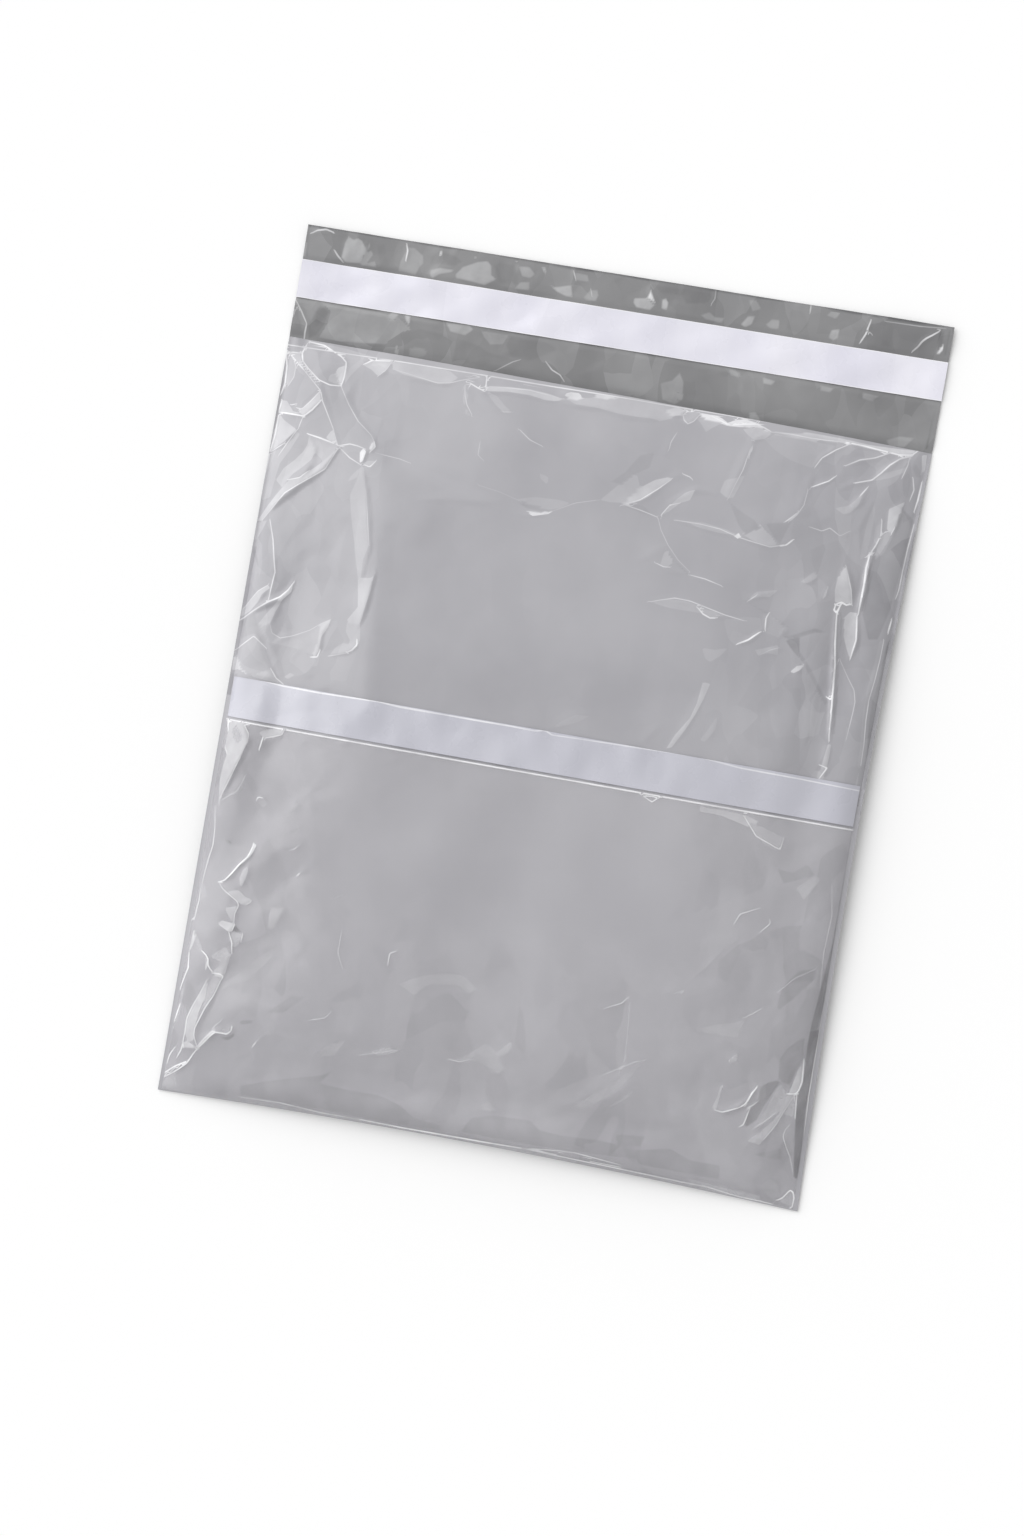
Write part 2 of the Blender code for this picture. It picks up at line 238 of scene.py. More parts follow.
POCKET_LEFT_CREASES = (
    (((219, 803), (231, 776), (241, 757), (249, 740), (244, 726), (236, 713)), 1.8, 9.0, 2.0),
    (((260, 751), (264, 742), (280, 737), (286, 725)), 1.0, 5.0, 2.0),
    (((230, 797), (238, 790), (246, 776)), 0.8, 4.0, 2.0),
    (((200, 900), (204, 878), (210, 850), (215, 828), (216, 805)), 0.5, 1.6, 1.6),
    (((219, 883), (232, 875), (241, 864), (251, 854), (257, 844)), 1.3, 2.0, 1.6),
    (((241, 887), (247, 876), (250, 864)), 1.0, 5.0, 1.8),
    (((220, 884), (226, 893), (240, 905), (251, 901)), 0.9, 4.0, 1.8),
    (((238, 890), (250, 899), (252, 890)), 0.5, 2.5, 1.5),
    (((232, 924), (236, 913), (238, 903)), 1.0, 5.0, 1.8),
    (((217, 927), (228, 932), (235, 925)), 1.1, 4.0, 1.6),
    (((231, 954), (232, 945), (230, 932)), 0.9, 3.0, 2.0),
    (((236, 946), (242, 938), (243, 933)), 0.7, 5.0, 1.8),
    (((222, 977), (226, 967), (231, 953)), 1.2, 6.0, 1.8),
    (((212, 972), (220, 976), (223, 968)), 0.8, 2.5, 1.6),
    (((211, 973), (207, 968), (208, 958)), 0.9, 2.0, 1.6),
    (((195, 1046), (197, 1025), (209, 1004), (222, 978)), 1.4, 7.0, 2.0),
    (((184, 1046), (188, 1020), (199, 1000), (207, 981)), 0.9, 2.5, 3.5),
    (((184, 1047), (191, 1049), (198, 1048)), 0.9, 3.0, 1.6),
    (((198, 1048), (207, 1037), (218, 1031), (226, 1035), (232, 1027)), 1.6, 2.4, 2.4),
    (((213, 1029), (217, 1023), (222, 1019)), 0.6, 1.6, 1.6),
    (((161, 1078), (178, 1070), (190, 1062), (197, 1049)), 1.0, 1.6, 1.6),
    (((161, 1075), (172, 1069), (187, 1061)), 0.8, 1.5, 1.5),
    (((176, 1057), (181, 1050), (184, 1040)), 0.6, 2.0, 1.8),
    (((163, 1066), (168, 1056), (175, 1047)), 0.7, 1.8, 1.6),
    (((189, 952), (194, 935), (195, 917)), 1.0, 3.0, 1.8),
    (((172, 1025), (179, 1000), (186, 970), (191, 945)), 0.8, 1.8, 1.8),
    (((173, 1026), (181, 1005), (185, 980)), 0.6, 2.0, 2.5),
    (((204, 955), (199, 941), (196, 930)), -0.9, 4.0, 3.0),
    (((228, 842), (238, 846), (245, 845)), -0.6, 3.0, 2.5),
    (((288, 832), (293, 829), (300, 826)), 0.6, 3.5, 2.0),
    (((292, 850), (298, 847), (304, 842)), 0.4, 2.0, 1.5),
    (((285, 815), (292, 808), (298, 798)), 0.5, 5.0, 2.5),
    (((271, 929), (276, 922), (285, 910)), 0.5, 5.0, 2.5),
    (((297, 876), (302, 872), (310, 866)), 0.6, 1.8, 1.5),
    (((255, 803), (258, 799), (268, 797)), 0.4, 3.0, 2.0),
)
POCKET_RIGHT_CREASES = (
    (((714, 1108), (723, 1112), (736, 1108), (746, 1102), (758, 1087)), 1.6, 2.2, 2.4),
    (((715, 1108), (720, 1092), (726, 1084)), 0.5, 3.0, 2.0),
    (((743, 1125), (748, 1112), (755, 1103)), 0.9, 1.8, 2.2),
    (((745, 1143), (757, 1141), (768, 1137)), 0.7, 5.0, 2.0),
    (((754, 1129), (766, 1122), (778, 1113)), 0.8, 3.0, 2.0),
    (((764, 1141), (777, 1124), (789, 1101), (792, 1095)), 1.2, 6.0, 2.0),
    (((756, 1127), (766, 1110), (773, 1096), (781, 1085)), 0.7, 2.0, 5.0),
    (((789, 1094), (797, 1094), (801, 1082), (803, 1063)), 1.2, 5.0, 1.6),
    (((794, 1117), (796, 1105), (797, 1096)), 0.8, 3.0, 1.6),
    (((793, 1165), (788, 1150), (784, 1136), (790, 1122)), 0.6, 2.0, 2.5),
    (((776, 1200), (785, 1195), (790, 1190), (794, 1194)), 0.9, 3.0, 1.6),
    (((793, 1207), (794, 1200), (793, 1192)), 0.7, 1.6, 1.4),
    (((727, 1062), (734, 1059), (739, 1052)), 0.7, 3.5, 1.8),
    (((780, 1062), (788, 1050), (798, 1040)), -0.9, 4.0, 4.0),
    (((800, 1062), (803, 1050), (805, 1035)), 0.7, 3.0, 1.8),
    (((835, 880), (841, 868), (846, 850)), 0.8, 4.0, 2.0),
    (((838, 935), (842, 915), (848, 890)), 0.6, 3.0, 2.0),
    (((762, 1190), (770, 1180), (780, 1180)), 0.4, 5.0, 3.0),
)
POCKET_LOWER_CREASES = (
    (((251, 1047), (257, 1043), (262, 1034)), 0.6, 2.5, 1.6),
    (((310, 1058), (325, 1050), (341, 1039)), 0.6, 4.0, 2.0),
    (((312, 1021), (325, 1018), (331, 1012)), 0.5, 3.5, 2.0),
    (((336, 1055), (346, 1049), (364, 1021)), 0.5, 5.0, 2.5),
    (((365, 1056), (385, 1051), (399, 1050)), 0.5, 3.5, 2.0),
    (((445, 1059), (460, 1062), (478, 1057), (484, 1046)), 0.6, 5.0, 2.5),
    (((495, 1075), (505, 1062), (514, 1042)), 0.5, 5.0, 2.5),
    (((480, 1108), (486, 1101), (498, 1112)), 0.5, 3.0, 2.0),
    (((560, 1110), (575, 1104), (590, 1093), (603, 1083)), 0.7, 4.0, 2.0),
    (((603, 1108), (622, 1095), (634, 1080)), 0.5, 5.0, 2.5),
    (((590, 1012), (610, 1008), (622, 1003), (629, 997)), 0.5, 3.5, 1.8),
    (((617, 1060), (630, 1070), (645, 1060)), 0.4, 4.0, 2.5),
    (((665, 998), (672, 992), (680, 988)), 0.4, 3.0, 1.8),
    (((684, 1095), (693, 1075), (700, 1050)), 0.4, 7.0, 3.0),
    (((240, 1078), (270, 1082), (310, 1080)), -0.7, 6.0, 6.0),
    (((330, 1082), (360, 1094), (395, 1100)), -0.7, 5.0, 6.0),
    (((395, 1100), (430, 1090), (455, 1100)), -0.6, 5.0, 6.0),
    (((470, 1120), (500, 1116), (530, 1124)), -0.8, 5.0, 6.0),
    (((530, 1124), (570, 1112), (600, 1120)), -0.7, 5.0, 6.0),
    (((600, 1120), (640, 1132), (690, 1125)), -0.7, 5.0, 6.0),
    (((340, 742), (346, 744), (352, 738)), 0.7, 3.0, 1.5),
    (((383, 762), (392, 763), (400, 756)), 0.6, 3.0, 1.5),
    (((740, 826), (747, 829), (752, 822)), 0.7, 3.0, 1.5),
    (((430, 776), (470, 784), (520, 795)), 0.3, 5.0, 3.0),
    (((600, 806), (640, 812), (690, 820)), 0.3, 5.0, 3.0),
)
FLAP_CREASES = (
    (((304, 338), (307, 323), (297, 301)), 0.6, 2.2, 1.8),
    (((343, 262), (337, 254), (335, 249)), 0.5, 1.6, 1.5),
    (((345, 264), (350, 250), (349, 239)), 0.5, 5.0, 3.0),
    (((360, 262), (365, 252), (369, 243)), 0.5, 4.0, 2.5),
    (((310, 236), (318, 232), (332, 234)), 0.4, 1.8, 1.6),
    (((406, 262), (407, 252), (409, 245)), 0.5, 1.8, 1.6),
    (((430, 276), (442, 271), (453, 269)), 0.4, 4.0, 2.0),
    (((482, 284), (498, 280), (491, 262)), 0.5, 5.0, 2.5),
    (((519, 275), (520, 268), (518, 264)), 0.4, 3.0, 2.0),
    (((548, 286), (560, 291), (573, 288)), 0.4, 4.0, 2.0),
    (((574, 280), (575, 270), (574, 265)), 0.4, 2.0, 2.0),
    (((656, 306), (652, 295), (650, 285)), 0.6, 2.4, 1.6),
    (((662, 306), (666, 301), (664, 297)), 0.5, 2.4, 1.6),
    (((712, 305), (715, 297), (716, 290)), 0.5, 2.0, 1.6),
    (((742, 326), (750, 321), (755, 315)), 0.4, 3.5, 2.0),
    (((828, 337), (836, 333), (839, 326)), 0.4, 4.0, 2.0),
    (((861, 342), (866, 332), (871, 321)), 0.6, 2.0, 1.6),
    (((912, 352), (924, 341), (938, 332)), 0.7, 2.0, 1.8),
    (((936, 355), (941, 348), (943, 337)), 0.6, 2.5, 1.6),
    (((410, 325), (408, 318), (405, 314)), 0.4, 2.0, 1.6),
    (((500, 374), (512, 364), (522, 360)), 0.3, 4.0, 3.0),
    (((563, 379), (555, 369), (545, 360)), 0.5, 2.0, 1.8),
    (((680, 400), (683, 388), (678, 376)), 0.35, 6.0, 4.0),
    (((900, 437), (915, 425), (930, 418)), 0.35, 5.0, 4.0),
)


# Creases that show as white lines, partly stress whitening and partly painted highlight, area by
# area. Each is how strong it is, then points of the photograph. Facets are flat places between
# creases: how much paler each is painted than the film around it, as painted light, or darker
# where negative, as painted shade, then its corners in the photograph.
UPPER_LEFT_LINES = (
    (0.85, (286, 350), (287, 366), (285, 383), (281, 394)),
    (0.4, (290, 352), (296, 366), (294, 377), (288, 386)),
    (0.8, (287, 350), (297, 362), (304, 370)),
    (0.45, (304, 370), (321, 391), (323, 402), (333, 428), (338, 446)),
    (0.6, (290, 352), (301, 353)),
    (0.95, (307, 345), (302, 353), (303, 361)),
    (0.7, (303, 361), (308, 368), (319, 380), (330, 385), (341, 386)),
    (0.9, (310, 342), (325, 346), (341, 356), (346, 362)),
    (0.9, (346, 362), (346, 367), (344, 378), (341, 386)),
    (0.8, (282, 400), (279, 411)),
    (0.9, (279, 412), (303, 416)),
    (0.9, (303, 417), (312, 410), (321, 401)),
    (0.5, (300, 411), (310, 402), (320, 392)),
    (0.5, (291, 405), (296, 404)),
    (0.5, (297, 408), (302, 409)),
    (0.9, (279, 413), (275, 435), (270, 452)),
    (0.5, (297, 430), (288, 442), (278, 456)),
    (0.5, (270, 452), (285, 443)),
    (0.4, (303, 417), (300, 424), (298, 430)),
    (0.9, (308, 434), (320, 438), (338, 445)),
    (0.7, (262, 520), (275, 505), (285, 493), (298, 485), (312, 477), (325, 469), (338, 449)),
    (0.6, (288, 480), (300, 478), (309, 471)),
    (0.85, (270, 452), (262, 486), (257, 520)),
    (0.7, (333, 430), (337, 444)),
    (0.4, (341, 386), (349, 405), (358, 421), (371, 435), (374, 441)),
    (0.95, (374, 441), (375, 447), (370, 452)),
    (0.7, (338, 446), (350, 444), (358, 446), (365, 449)),
    (0.5, (340, 448), (350, 458), (361, 465)),
    (0.7, (362, 464), (370, 467), (376, 461)),
    (0.3, (366, 490), (369, 545)),
    (0.25, (376, 453), (400, 459), (410, 463)),
    (0.95, (357, 640), (357, 645), (352, 650), (346, 653)),
    (0.5, (329, 656), (347, 653)),
    (0.8, (311, 657), (317, 657), (320, 650)),
    (0.4, (270, 624), (272, 633), (280, 638), (292, 636), (310, 630), (320, 624)),
    (0.7, (270, 520), (273, 540), (274, 560), (275, 572), (271, 588), (268, 602)),
    (0.9, (240, 620), (253, 611), (268, 602), (280, 597), (288, 590), (294, 582)),
    (0.6, (243, 609), (258, 591), (268, 585)),
    (0.55, (235, 650), (254, 636), (266, 648)),
    (0.6, (271, 669), (276, 678), (283, 684)),
    (0.8, (260, 490), (257, 520)),
)
UPPER_RIGHT_LINES = (
    (0.6, (815, 467), (822, 458), (836, 450), (850, 444)),
    (0.75, (845, 466), (860, 460), (875, 458), (890, 453)),
    (0.7, (812, 487), (829, 481), (836, 476)),
    (0.85, (855, 483), (872, 480), (880, 474), (890, 465), (900, 459), (912, 456)),
    (0.7, (868, 487), (860, 496)),
    (0.35, (808, 490), (804, 505), (797, 515), (790, 521)),
    (0.5, (910, 456), (908, 465), (902, 478)),
    (0.6, (913, 478), (914, 490), (910, 500)),
    (0.8, (895, 527), (891, 534)),
    (0.6, (880, 537), (885, 532), (890, 531)),
    (0.8, (882, 520), (881, 535), (876, 545), (870, 554)),
    (1, (870, 554), (866, 568), (864, 585), (861, 600), (858, 615)),
    (0.8, (866, 557), (873, 553)),
    (0.7, (914, 525), (908, 548), (903, 570), (899, 590), (896, 598)),
    (0.9, (922, 482), (918, 500), (914, 512)),
    (0.6, (846, 566), (851, 590), (852, 605)),
    (0.9, (836, 604), (842, 602), (846, 605), (852, 604)),
    (0.9, (836, 604), (834, 610), (837, 613), (840, 606), (842, 603)),
    (0.35, (810, 527), (822, 531), (830, 528), (840, 536), (850, 531)),
    (0.5, (780, 545), (786, 545), (792, 540)),
    (1, (837, 612), (836, 625), (835, 645), (835, 665), (833, 690), (831, 715), (829, 735), (829, 741)),
    (0.95, (857, 615), (856, 640), (850, 659)),
    (0.8, (827, 697), (831, 700)),
    (0.7, (820, 765), (827, 768), (824, 772), (818, 780)),
    (0.35, (840, 660), (848, 678), (854, 690), (855, 702), (853, 712), (846, 740)),
    (0.5, (884, 640), (880, 660), (875, 680), (869, 700), (866, 720), (864, 745), (861, 765)),
    (0.9, (892, 619), (888, 633)),
    (0.95, (737, 644), (748, 640), (760, 632)),
    (0.75, (765, 630), (766, 618), (769, 613)),
    (0.5, (748, 601), (757, 595)),
    (0.3, (760, 655), (770, 650), (778, 648)),
    (0.5, (896, 640), (886, 690), (876, 740), (868, 790)),
)
CENTRE_LINES = (
    (0.15, (478, 485), (500, 492), (520, 501)),
    (0.2, (553, 511), (575, 503), (598, 500)),
    (0.65, (622, 505), (640, 500), (658, 489), (672, 479)),
    (0.4, (625, 505), (640, 510), (650, 514), (657, 517)),
    (0.5, (661, 515), (670, 505), (680, 503)),
    (0.25, (658, 518), (661, 530), (668, 545), (678, 560), (690, 572)),
    (0.4, (656, 563), (664, 567), (670, 567)),
    (0.45, (690, 575), (705, 579), (722, 586)),
    (0.45, (675, 520), (700, 524), (720, 529), (738, 537), (750, 541), (770, 547), (785, 545)),
    (0.8, (780, 546), (786, 545), (793, 540)),
    (0.35, (728, 499), (735, 485), (743, 470), (750, 450), (754, 438)),
    (0.5, (785, 522), (792, 517), (797, 513)),
    (0.5, (683, 474), (690, 477), (692, 479)),
    (0.45, (649, 602), (660, 600), (675, 598), (690, 601), (710, 609), (725, 615), (745, 621)),
    (0.8, (698, 608), (703, 614), (710, 618), (716, 618)),
    (0.25, (480, 443), (478, 455), (483, 460)),
    (0.35, (520, 430), (530, 440), (542, 446)),
    (0.3, (465, 385), (465, 395), (467, 405), (472, 415)),
)
MOUTH_LINES = (
    (0.95, (364, 364), (372, 360), (392, 361)),
    (0.45, (392, 361), (386, 370), (378, 376)),
    (0.7, (470, 383), (478, 388), (484, 391)),
    (0.7, (487, 375), (486, 385), (484, 391)),
    (0.5, (487, 387), (510, 388), (530, 390), (545, 394), (556, 397)),
    (0.35, (393, 369), (415, 376), (437, 383), (450, 383), (462, 380), (480, 377)),
    (0.4, (503, 412), (511, 412)),
    (0.5, (683, 414), (684, 420), (688, 424), (694, 421), (700, 414)),
    (0.8, (686, 411), (694, 411)),
    (1, (700, 414), (712, 416), (720, 420), (727, 424), (733, 425), (745, 424), (757, 424), (765, 428),
     (770, 431)),
    (0.6, (729, 424), (738, 420), (747, 420)),
    (0.45, (753, 440), (752, 450), (749, 456)),
    (0.5, (770, 432), (790, 434), (810, 438), (825, 440), (845, 442)),
    (0.35, (676, 434), (671, 442), (669, 450)),
    (1, (845, 442), (865, 446), (880, 450), (900, 455), (912, 455), (918, 451)),
)
UPPER_LEFT_FACETS = (
    (-0.2, (281, 342), (286, 345), (283, 395), (279, 412), (274, 435), (268, 455), (262, 475),
     (257, 475), (264, 450), (270, 420), (275, 390), (279, 360)),
    (0.12, (285, 351), (290, 353), (296, 366), (294, 377), (288, 386), (285, 383)),
    (0.2, (288, 351), (300, 352), (301, 360), (303, 369), (296, 363)),
    (0.3, (336, 372), (338, 368), (346, 365), (345, 375), (341, 385), (338, 378)),
    (0.12, (330, 375), (336, 373), (338, 380), (340, 385), (328, 381)),
    (0.1, (312, 342), (345, 349), (372, 356), (362, 364), (350, 376), (345, 384), (347, 366), (345, 360),
     (330, 350)),
    (0.3, (281, 400), (287, 401), (293, 411), (303, 415), (279, 412)),
    (0.3, (303, 416), (312, 409), (321, 400), (320, 391), (310, 401), (300, 411)),
    (0.25, (279, 413), (284, 420), (297, 430), (285, 441), (270, 451)),
    (0.12, (308, 434), (338, 445), (334, 452), (325, 463), (315, 452), (313, 445)),
    (0.12, (270, 453), (285, 447), (297, 432), (300, 434), (290, 450), (280, 463), (275, 478), (270, 497),
     (262, 500), (262, 485)),
    (0.2, (309, 435), (313, 444), (315, 452), (312, 459), (303, 467), (293, 474), (288, 480), (282, 487),
     (276, 480), (284, 468), (295, 460), (303, 452), (308, 444)),
    (0.28, (338, 449), (332, 457), (325, 468), (312, 477), (298, 484), (288, 490), (278, 502), (262, 520),
     (257, 521), (268, 505), (283, 487), (290, 480), (300, 479), (310, 471), (320, 464), (328, 457)),
    (0.22, (326, 438), (332, 430), (334, 432), (337, 444)),
    (0.4, (369, 449), (373, 441), (375, 445), (372, 451)),
    (0.55, (360, 463), (360, 452), (364, 448), (366, 452), (363, 461)),
    (0.12, (362, 464), (368, 461), (376, 461), (372, 466)),
    (0.1, (360, 468), (352, 475), (347, 482), (356, 478), (359, 472)),
    (0.11, (350, 495), (351, 515), (354, 540), (356, 560), (358, 578), (361, 578), (363, 560), (369, 545),
     (368, 530), (366, 510), (366, 495), (364, 468), (361, 466), (358, 478)),
    (0.22, (358, 578), (373, 578), (371, 590), (366, 605), (362, 618), (360, 624), (350, 624), (347, 620),
     (352, 614), (358, 607), (358, 595)),
    (0.2, (360, 580), (372, 578), (376, 571), (373, 580), (370, 586)),
    (0.13, (347, 622), (360, 624), (360, 640), (358, 645), (352, 652), (347, 652), (350, 640), (346, 632)),
    (0.12, (329, 656), (335, 648), (343, 643), (350, 645), (346, 653), (338, 654)),
    (0.27, (319, 624), (331, 619), (328, 627), (321, 637), (319, 650), (314, 658), (312, 650), (314, 637)),
    (0.06, (289, 661), (292, 655), (300, 648), (306, 654), (313, 658), (320, 655), (310, 668), (305, 674),
     (297, 667)),
    (0.07, (258, 624), (270, 622), (272, 632), (280, 638), (300, 634), (320, 626), (318, 640), (312, 655),
     (295, 648), (268, 642)),
    (0.06, (256, 535), (262, 545), (262, 565), (259, 580), (258, 560), (253, 545)),
    (0.25, (241, 617), (242, 609), (250, 600), (258, 592), (268, 585), (270, 588), (262, 594), (258, 602),
     (250, 611)),
    (0.4, (278, 600), (288, 590), (294, 581), (291, 592), (282, 600), (278, 607)),
    (0.2, (258, 624), (268, 612), (279, 600), (281, 602), (275, 613), (270, 624), (262, 626)),
    (-0.12, (240, 621), (255, 612), (258, 625), (266, 640), (268, 646), (262, 643), (255, 634),
     (248, 636), (240, 640)),
    (0.04, (235, 650), (246, 641), (254, 636), (258, 639), (264, 647), (268, 660), (272, 668), (262, 673),
     (247, 676), (238, 662)),
    (0.18, (250, 676), (262, 672), (271, 670), (280, 683), (265, 680)),
    (0.15, (284, 677), (290, 673), (295, 675), (288, 679)),
    (0.3, (234, 655), (239, 662), (240, 668), (247, 675), (238, 669), (232, 670)),
    (0.15, (254, 540), (257, 523), (267, 520), (262, 530), (256, 540)),
)
UPPER_RIGHT_FACETS = (
    (0.3, (800, 431), (840, 438), (870, 445), (900, 449), (918, 451), (908, 455), (880, 451), (850, 444),
     (815, 438)),
    (0.1, (873, 481), (890, 478), (903, 473), (908, 467), (898, 470), (885, 473)),
    (0.12, (868, 488), (863, 494), (858, 506), (850, 513), (843, 514), (835, 508), (848, 506), (856, 500),
     (862, 492)),
    (-0.08, (903, 478), (908, 470), (912, 480), (913, 490), (909, 500), (903, 495), (902, 485)),
    (-0.1, (915, 462), (920, 470), (922, 478), (916, 478), (912, 468)),
    (0.25, (922, 455), (927, 455), (925, 470), (922, 475)),
    (0.3, (889, 509), (905, 502), (900, 514), (895, 528), (891, 534), (887, 529)),
    (0.12, (881, 537), (886, 533), (892, 532), (888, 542), (880, 554), (874, 558)),
    (-0.05, (810, 550), (820, 545), (838, 540), (845, 565), (838, 577), (830, 590), (818, 577),
     (812, 565)),
    (0.06, (876, 500), (868, 520), (862, 545), (860, 560), (866, 556), (870, 540), (874, 520)),
    (-0.19, (903, 508), (893, 535), (884, 552), (874, 560), (868, 590), (862, 614), (868, 640),
         (878, 640), (890, 612), (900, 575), (908, 545), (914, 520)),
    (-0.30, (914, 530), (908, 560), (902, 590), (897, 618), (900, 618), (905, 592), (912, 560), (917, 530)),
    (-0.30, (873, 555), (869, 570), (866, 590), (861, 612), (864, 612), (869, 590), (872, 570),
     (876, 556)),
    (0.28, (846, 566), (838, 577), (835, 590), (835, 602), (852, 604), (851, 590), (848, 575)),
    (0.1, (800, 582), (808, 583), (818, 577), (814, 572)),
    (0.22, (822, 600), (826, 596), (828, 587), (825, 592)),
    (-0.20, (840, 605), (843, 620), (842, 640), (840, 655), (837, 680), (834, 710), (832, 735),
     (835, 735), (838, 700)),
    (0.3, (844, 618), (850, 612), (857, 613), (857, 630), (855, 645), (850, 659), (847, 650), (844, 638)),
    (0.2, (821, 768), (824, 757), (828, 744), (831, 745), (829, 757), (826, 770)),
    (0.12, (816, 782), (818, 772), (822, 768), (826, 770), (822, 782)),
    (0.05, (884, 640), (878, 665), (870, 692), (866, 715), (864, 745), (861, 768), (858, 768), (861, 740),
     (863, 712), (867, 690), (875, 662), (880, 640)),
    (-0.25, (893, 630), (885, 650), (880, 675), (872, 700), (868, 730), (866, 760), (863, 790),
     (869, 790), (874, 760), (880, 720), (887, 680), (896, 640)),
    (-0.15, (793, 643), (797, 645), (812, 670), (824, 695), (829, 702), (825, 706), (817, 690),
     (805, 668)),
    (-0.22, (780, 637), (795, 634), (815, 628), (830, 633), (815, 633), (797, 639)),
    (-0.1, (746, 601), (768, 612), (797, 632), (780, 624), (765, 614)),
    (0.05, (764, 632), (767, 613), (772, 615), (785, 627), (779, 638), (770, 634)),
    (0.12, (748, 600), (756, 592), (778, 590), (770, 597), (758, 597)),
    (0.35, (790, 672), (797, 666), (804, 665), (800, 670), (794, 673)),
    (0.06, (807, 746), (813, 738), (818, 718), (822, 700), (818, 690), (812, 700), (810, 720), (810, 735)),
    (0.1, (850, 790), (855, 786), (859, 772), (857, 788)),
)
CENTRE_FACETS = (
    (0.6, (526, 511), (537, 513), (553, 511), (548, 514), (532, 516)),
    (0.08, (516, 499), (535, 497), (560, 500), (570, 503), (560, 508), (545, 510), (533, 505)),
    (-0.12, (515, 500), (533, 505), (551, 511), (540, 512), (525, 508)),
    (0.1, (600, 500), (625, 480), (635, 470), (638, 478), (640, 488), (625, 503), (610, 502)),
    (0.25, (622, 505), (640, 488), (655, 480), (670, 477), (672, 479), (660, 487), (648, 497), (640, 501),
     (630, 504)),
    (-0.08, (623, 506), (632, 503), (645, 506), (655, 518), (640, 513)),
    (0.18, (660, 516), (668, 508), (676, 500), (685, 493), (690, 491), (695, 490), (690, 500), (680, 503),
     (668, 512)),
    (-0.15, (668, 551), (675, 560), (685, 570), (693, 576), (686, 574), (676, 564)),
    (0.12, (664, 553), (668, 550), (674, 562), (668, 566), (660, 566)),
    (0.55, (734, 536), (739, 533), (741, 537), (738, 539)),
    (0.12, (684, 521), (705, 523), (727, 530), (737, 535), (720, 533), (700, 528)),
    (0.12, (742, 534), (760, 524), (765, 530), (775, 540), (778, 547), (765, 546), (752, 540)),
    (0.12, (733, 498), (740, 485), (745, 475), (737, 478), (725, 480), (720, 492), (727, 498)),
    (-0.12, (728, 500), (740, 510), (755, 520), (760, 528), (745, 535), (738, 525), (733, 512)),
    (-0.12, (765, 523), (785, 522), (793, 520), (786, 533), (780, 545), (772, 535)),
    (-0.1, (640, 455), (655, 452), (650, 468), (635, 475), (620, 485), (610, 482), (625, 472)),
    (0.1, (650, 602), (670, 599), (688, 602), (712, 611), (730, 618), (700, 613), (670, 608)),
    (0.14, (698, 608), (716, 612), (718, 617), (712, 619), (705, 616)),
    (0.05, (724, 620), (745, 617), (760, 618), (762, 630), (748, 640), (735, 645), (728, 638)),
    (0.22, (703, 682), (710, 684), (703, 700), (695, 715), (685, 730), (672, 747), (666, 749), (675, 735),
     (690, 718), (697, 703)),
    (0.08, (702, 648), (715, 650), (728, 648), (720, 656), (710, 662), (705, 658)),
    (0.12, (755, 650), (766, 648), (778, 645), (778, 655), (768, 653), (758, 655)),
    (-0.3, (785, 640), (800, 636), (800, 660), (790, 648)),
    (0.08, (540, 473), (548, 477), (548, 485), (540, 478)),
    (0.07, (700, 740), (708, 730), (718, 715), (715, 730), (705, 742)),
    (0.06, (553, 728), (560, 722), (575, 715), (590, 716), (575, 723)),
)
MOUTH_FACETS = (
    (0.25, (362, 364), (372, 360), (392, 361), (388, 368), (378, 376), (372, 370)),
    (0.16, (392, 361), (420, 364), (450, 371), (458, 378), (450, 383), (438, 384), (425, 380), (405, 375),
     (393, 369)),
    (0.25, (487, 386), (510, 387), (530, 389), (550, 394), (560, 398), (566, 399), (556, 401), (545, 400),
     (530, 395), (510, 392), (486, 391)),
    (0.13, (566, 398), (590, 398), (620, 397), (640, 399), (662, 404), (676, 407), (668, 412), (674, 418),
     (660, 421), (650, 418), (638, 417), (620, 414), (598, 408), (575, 404)),
    (0.45, (564, 394), (570, 392), (580, 393), (582, 398), (575, 400), (568, 398)),
    (0.4, (592, 395), (600, 394), (612, 396), (620, 397), (610, 399), (600, 398)),
    (0.1, (486, 392), (497, 396), (505, 406), (512, 412), (503, 412), (495, 404)),
    (0.08, (463, 385), (468, 395), (466, 408), (471, 416), (466, 415), (463, 400)),
    (0.35, (667, 410), (675, 406), (683, 409), (687, 411), (682, 415), (672, 416), (667, 413)),
    (0.12, (684, 411), (690, 409), (700, 412), (697, 417), (690, 424), (684, 419), (682, 414)),
    (0.1, (697, 418), (702, 425), (706, 432), (712, 428), (720, 424), (727, 424), (715, 420), (703, 416)),
    (0.5, (700, 413), (715, 415), (722, 418), (728, 423), (735, 420), (745, 419), (755, 422), (768, 430),
     (755, 427), (740, 427), (728, 426), (715, 421), (703, 418)),
    (0.18, (742, 428), (752, 429), (759, 427), (766, 431), (772, 433), (765, 439), (754, 440), (748, 435)),
    (0.22, (770, 431), (800, 434), (820, 437), (840, 441), (838, 443), (820, 440), (815, 442), (800, 439),
     (785, 435), (775, 433)),
    (0.05, (765, 440), (775, 434), (800, 440), (825, 444), (836, 446), (822, 456), (812, 468), (790, 460),
     (775, 450)),
)
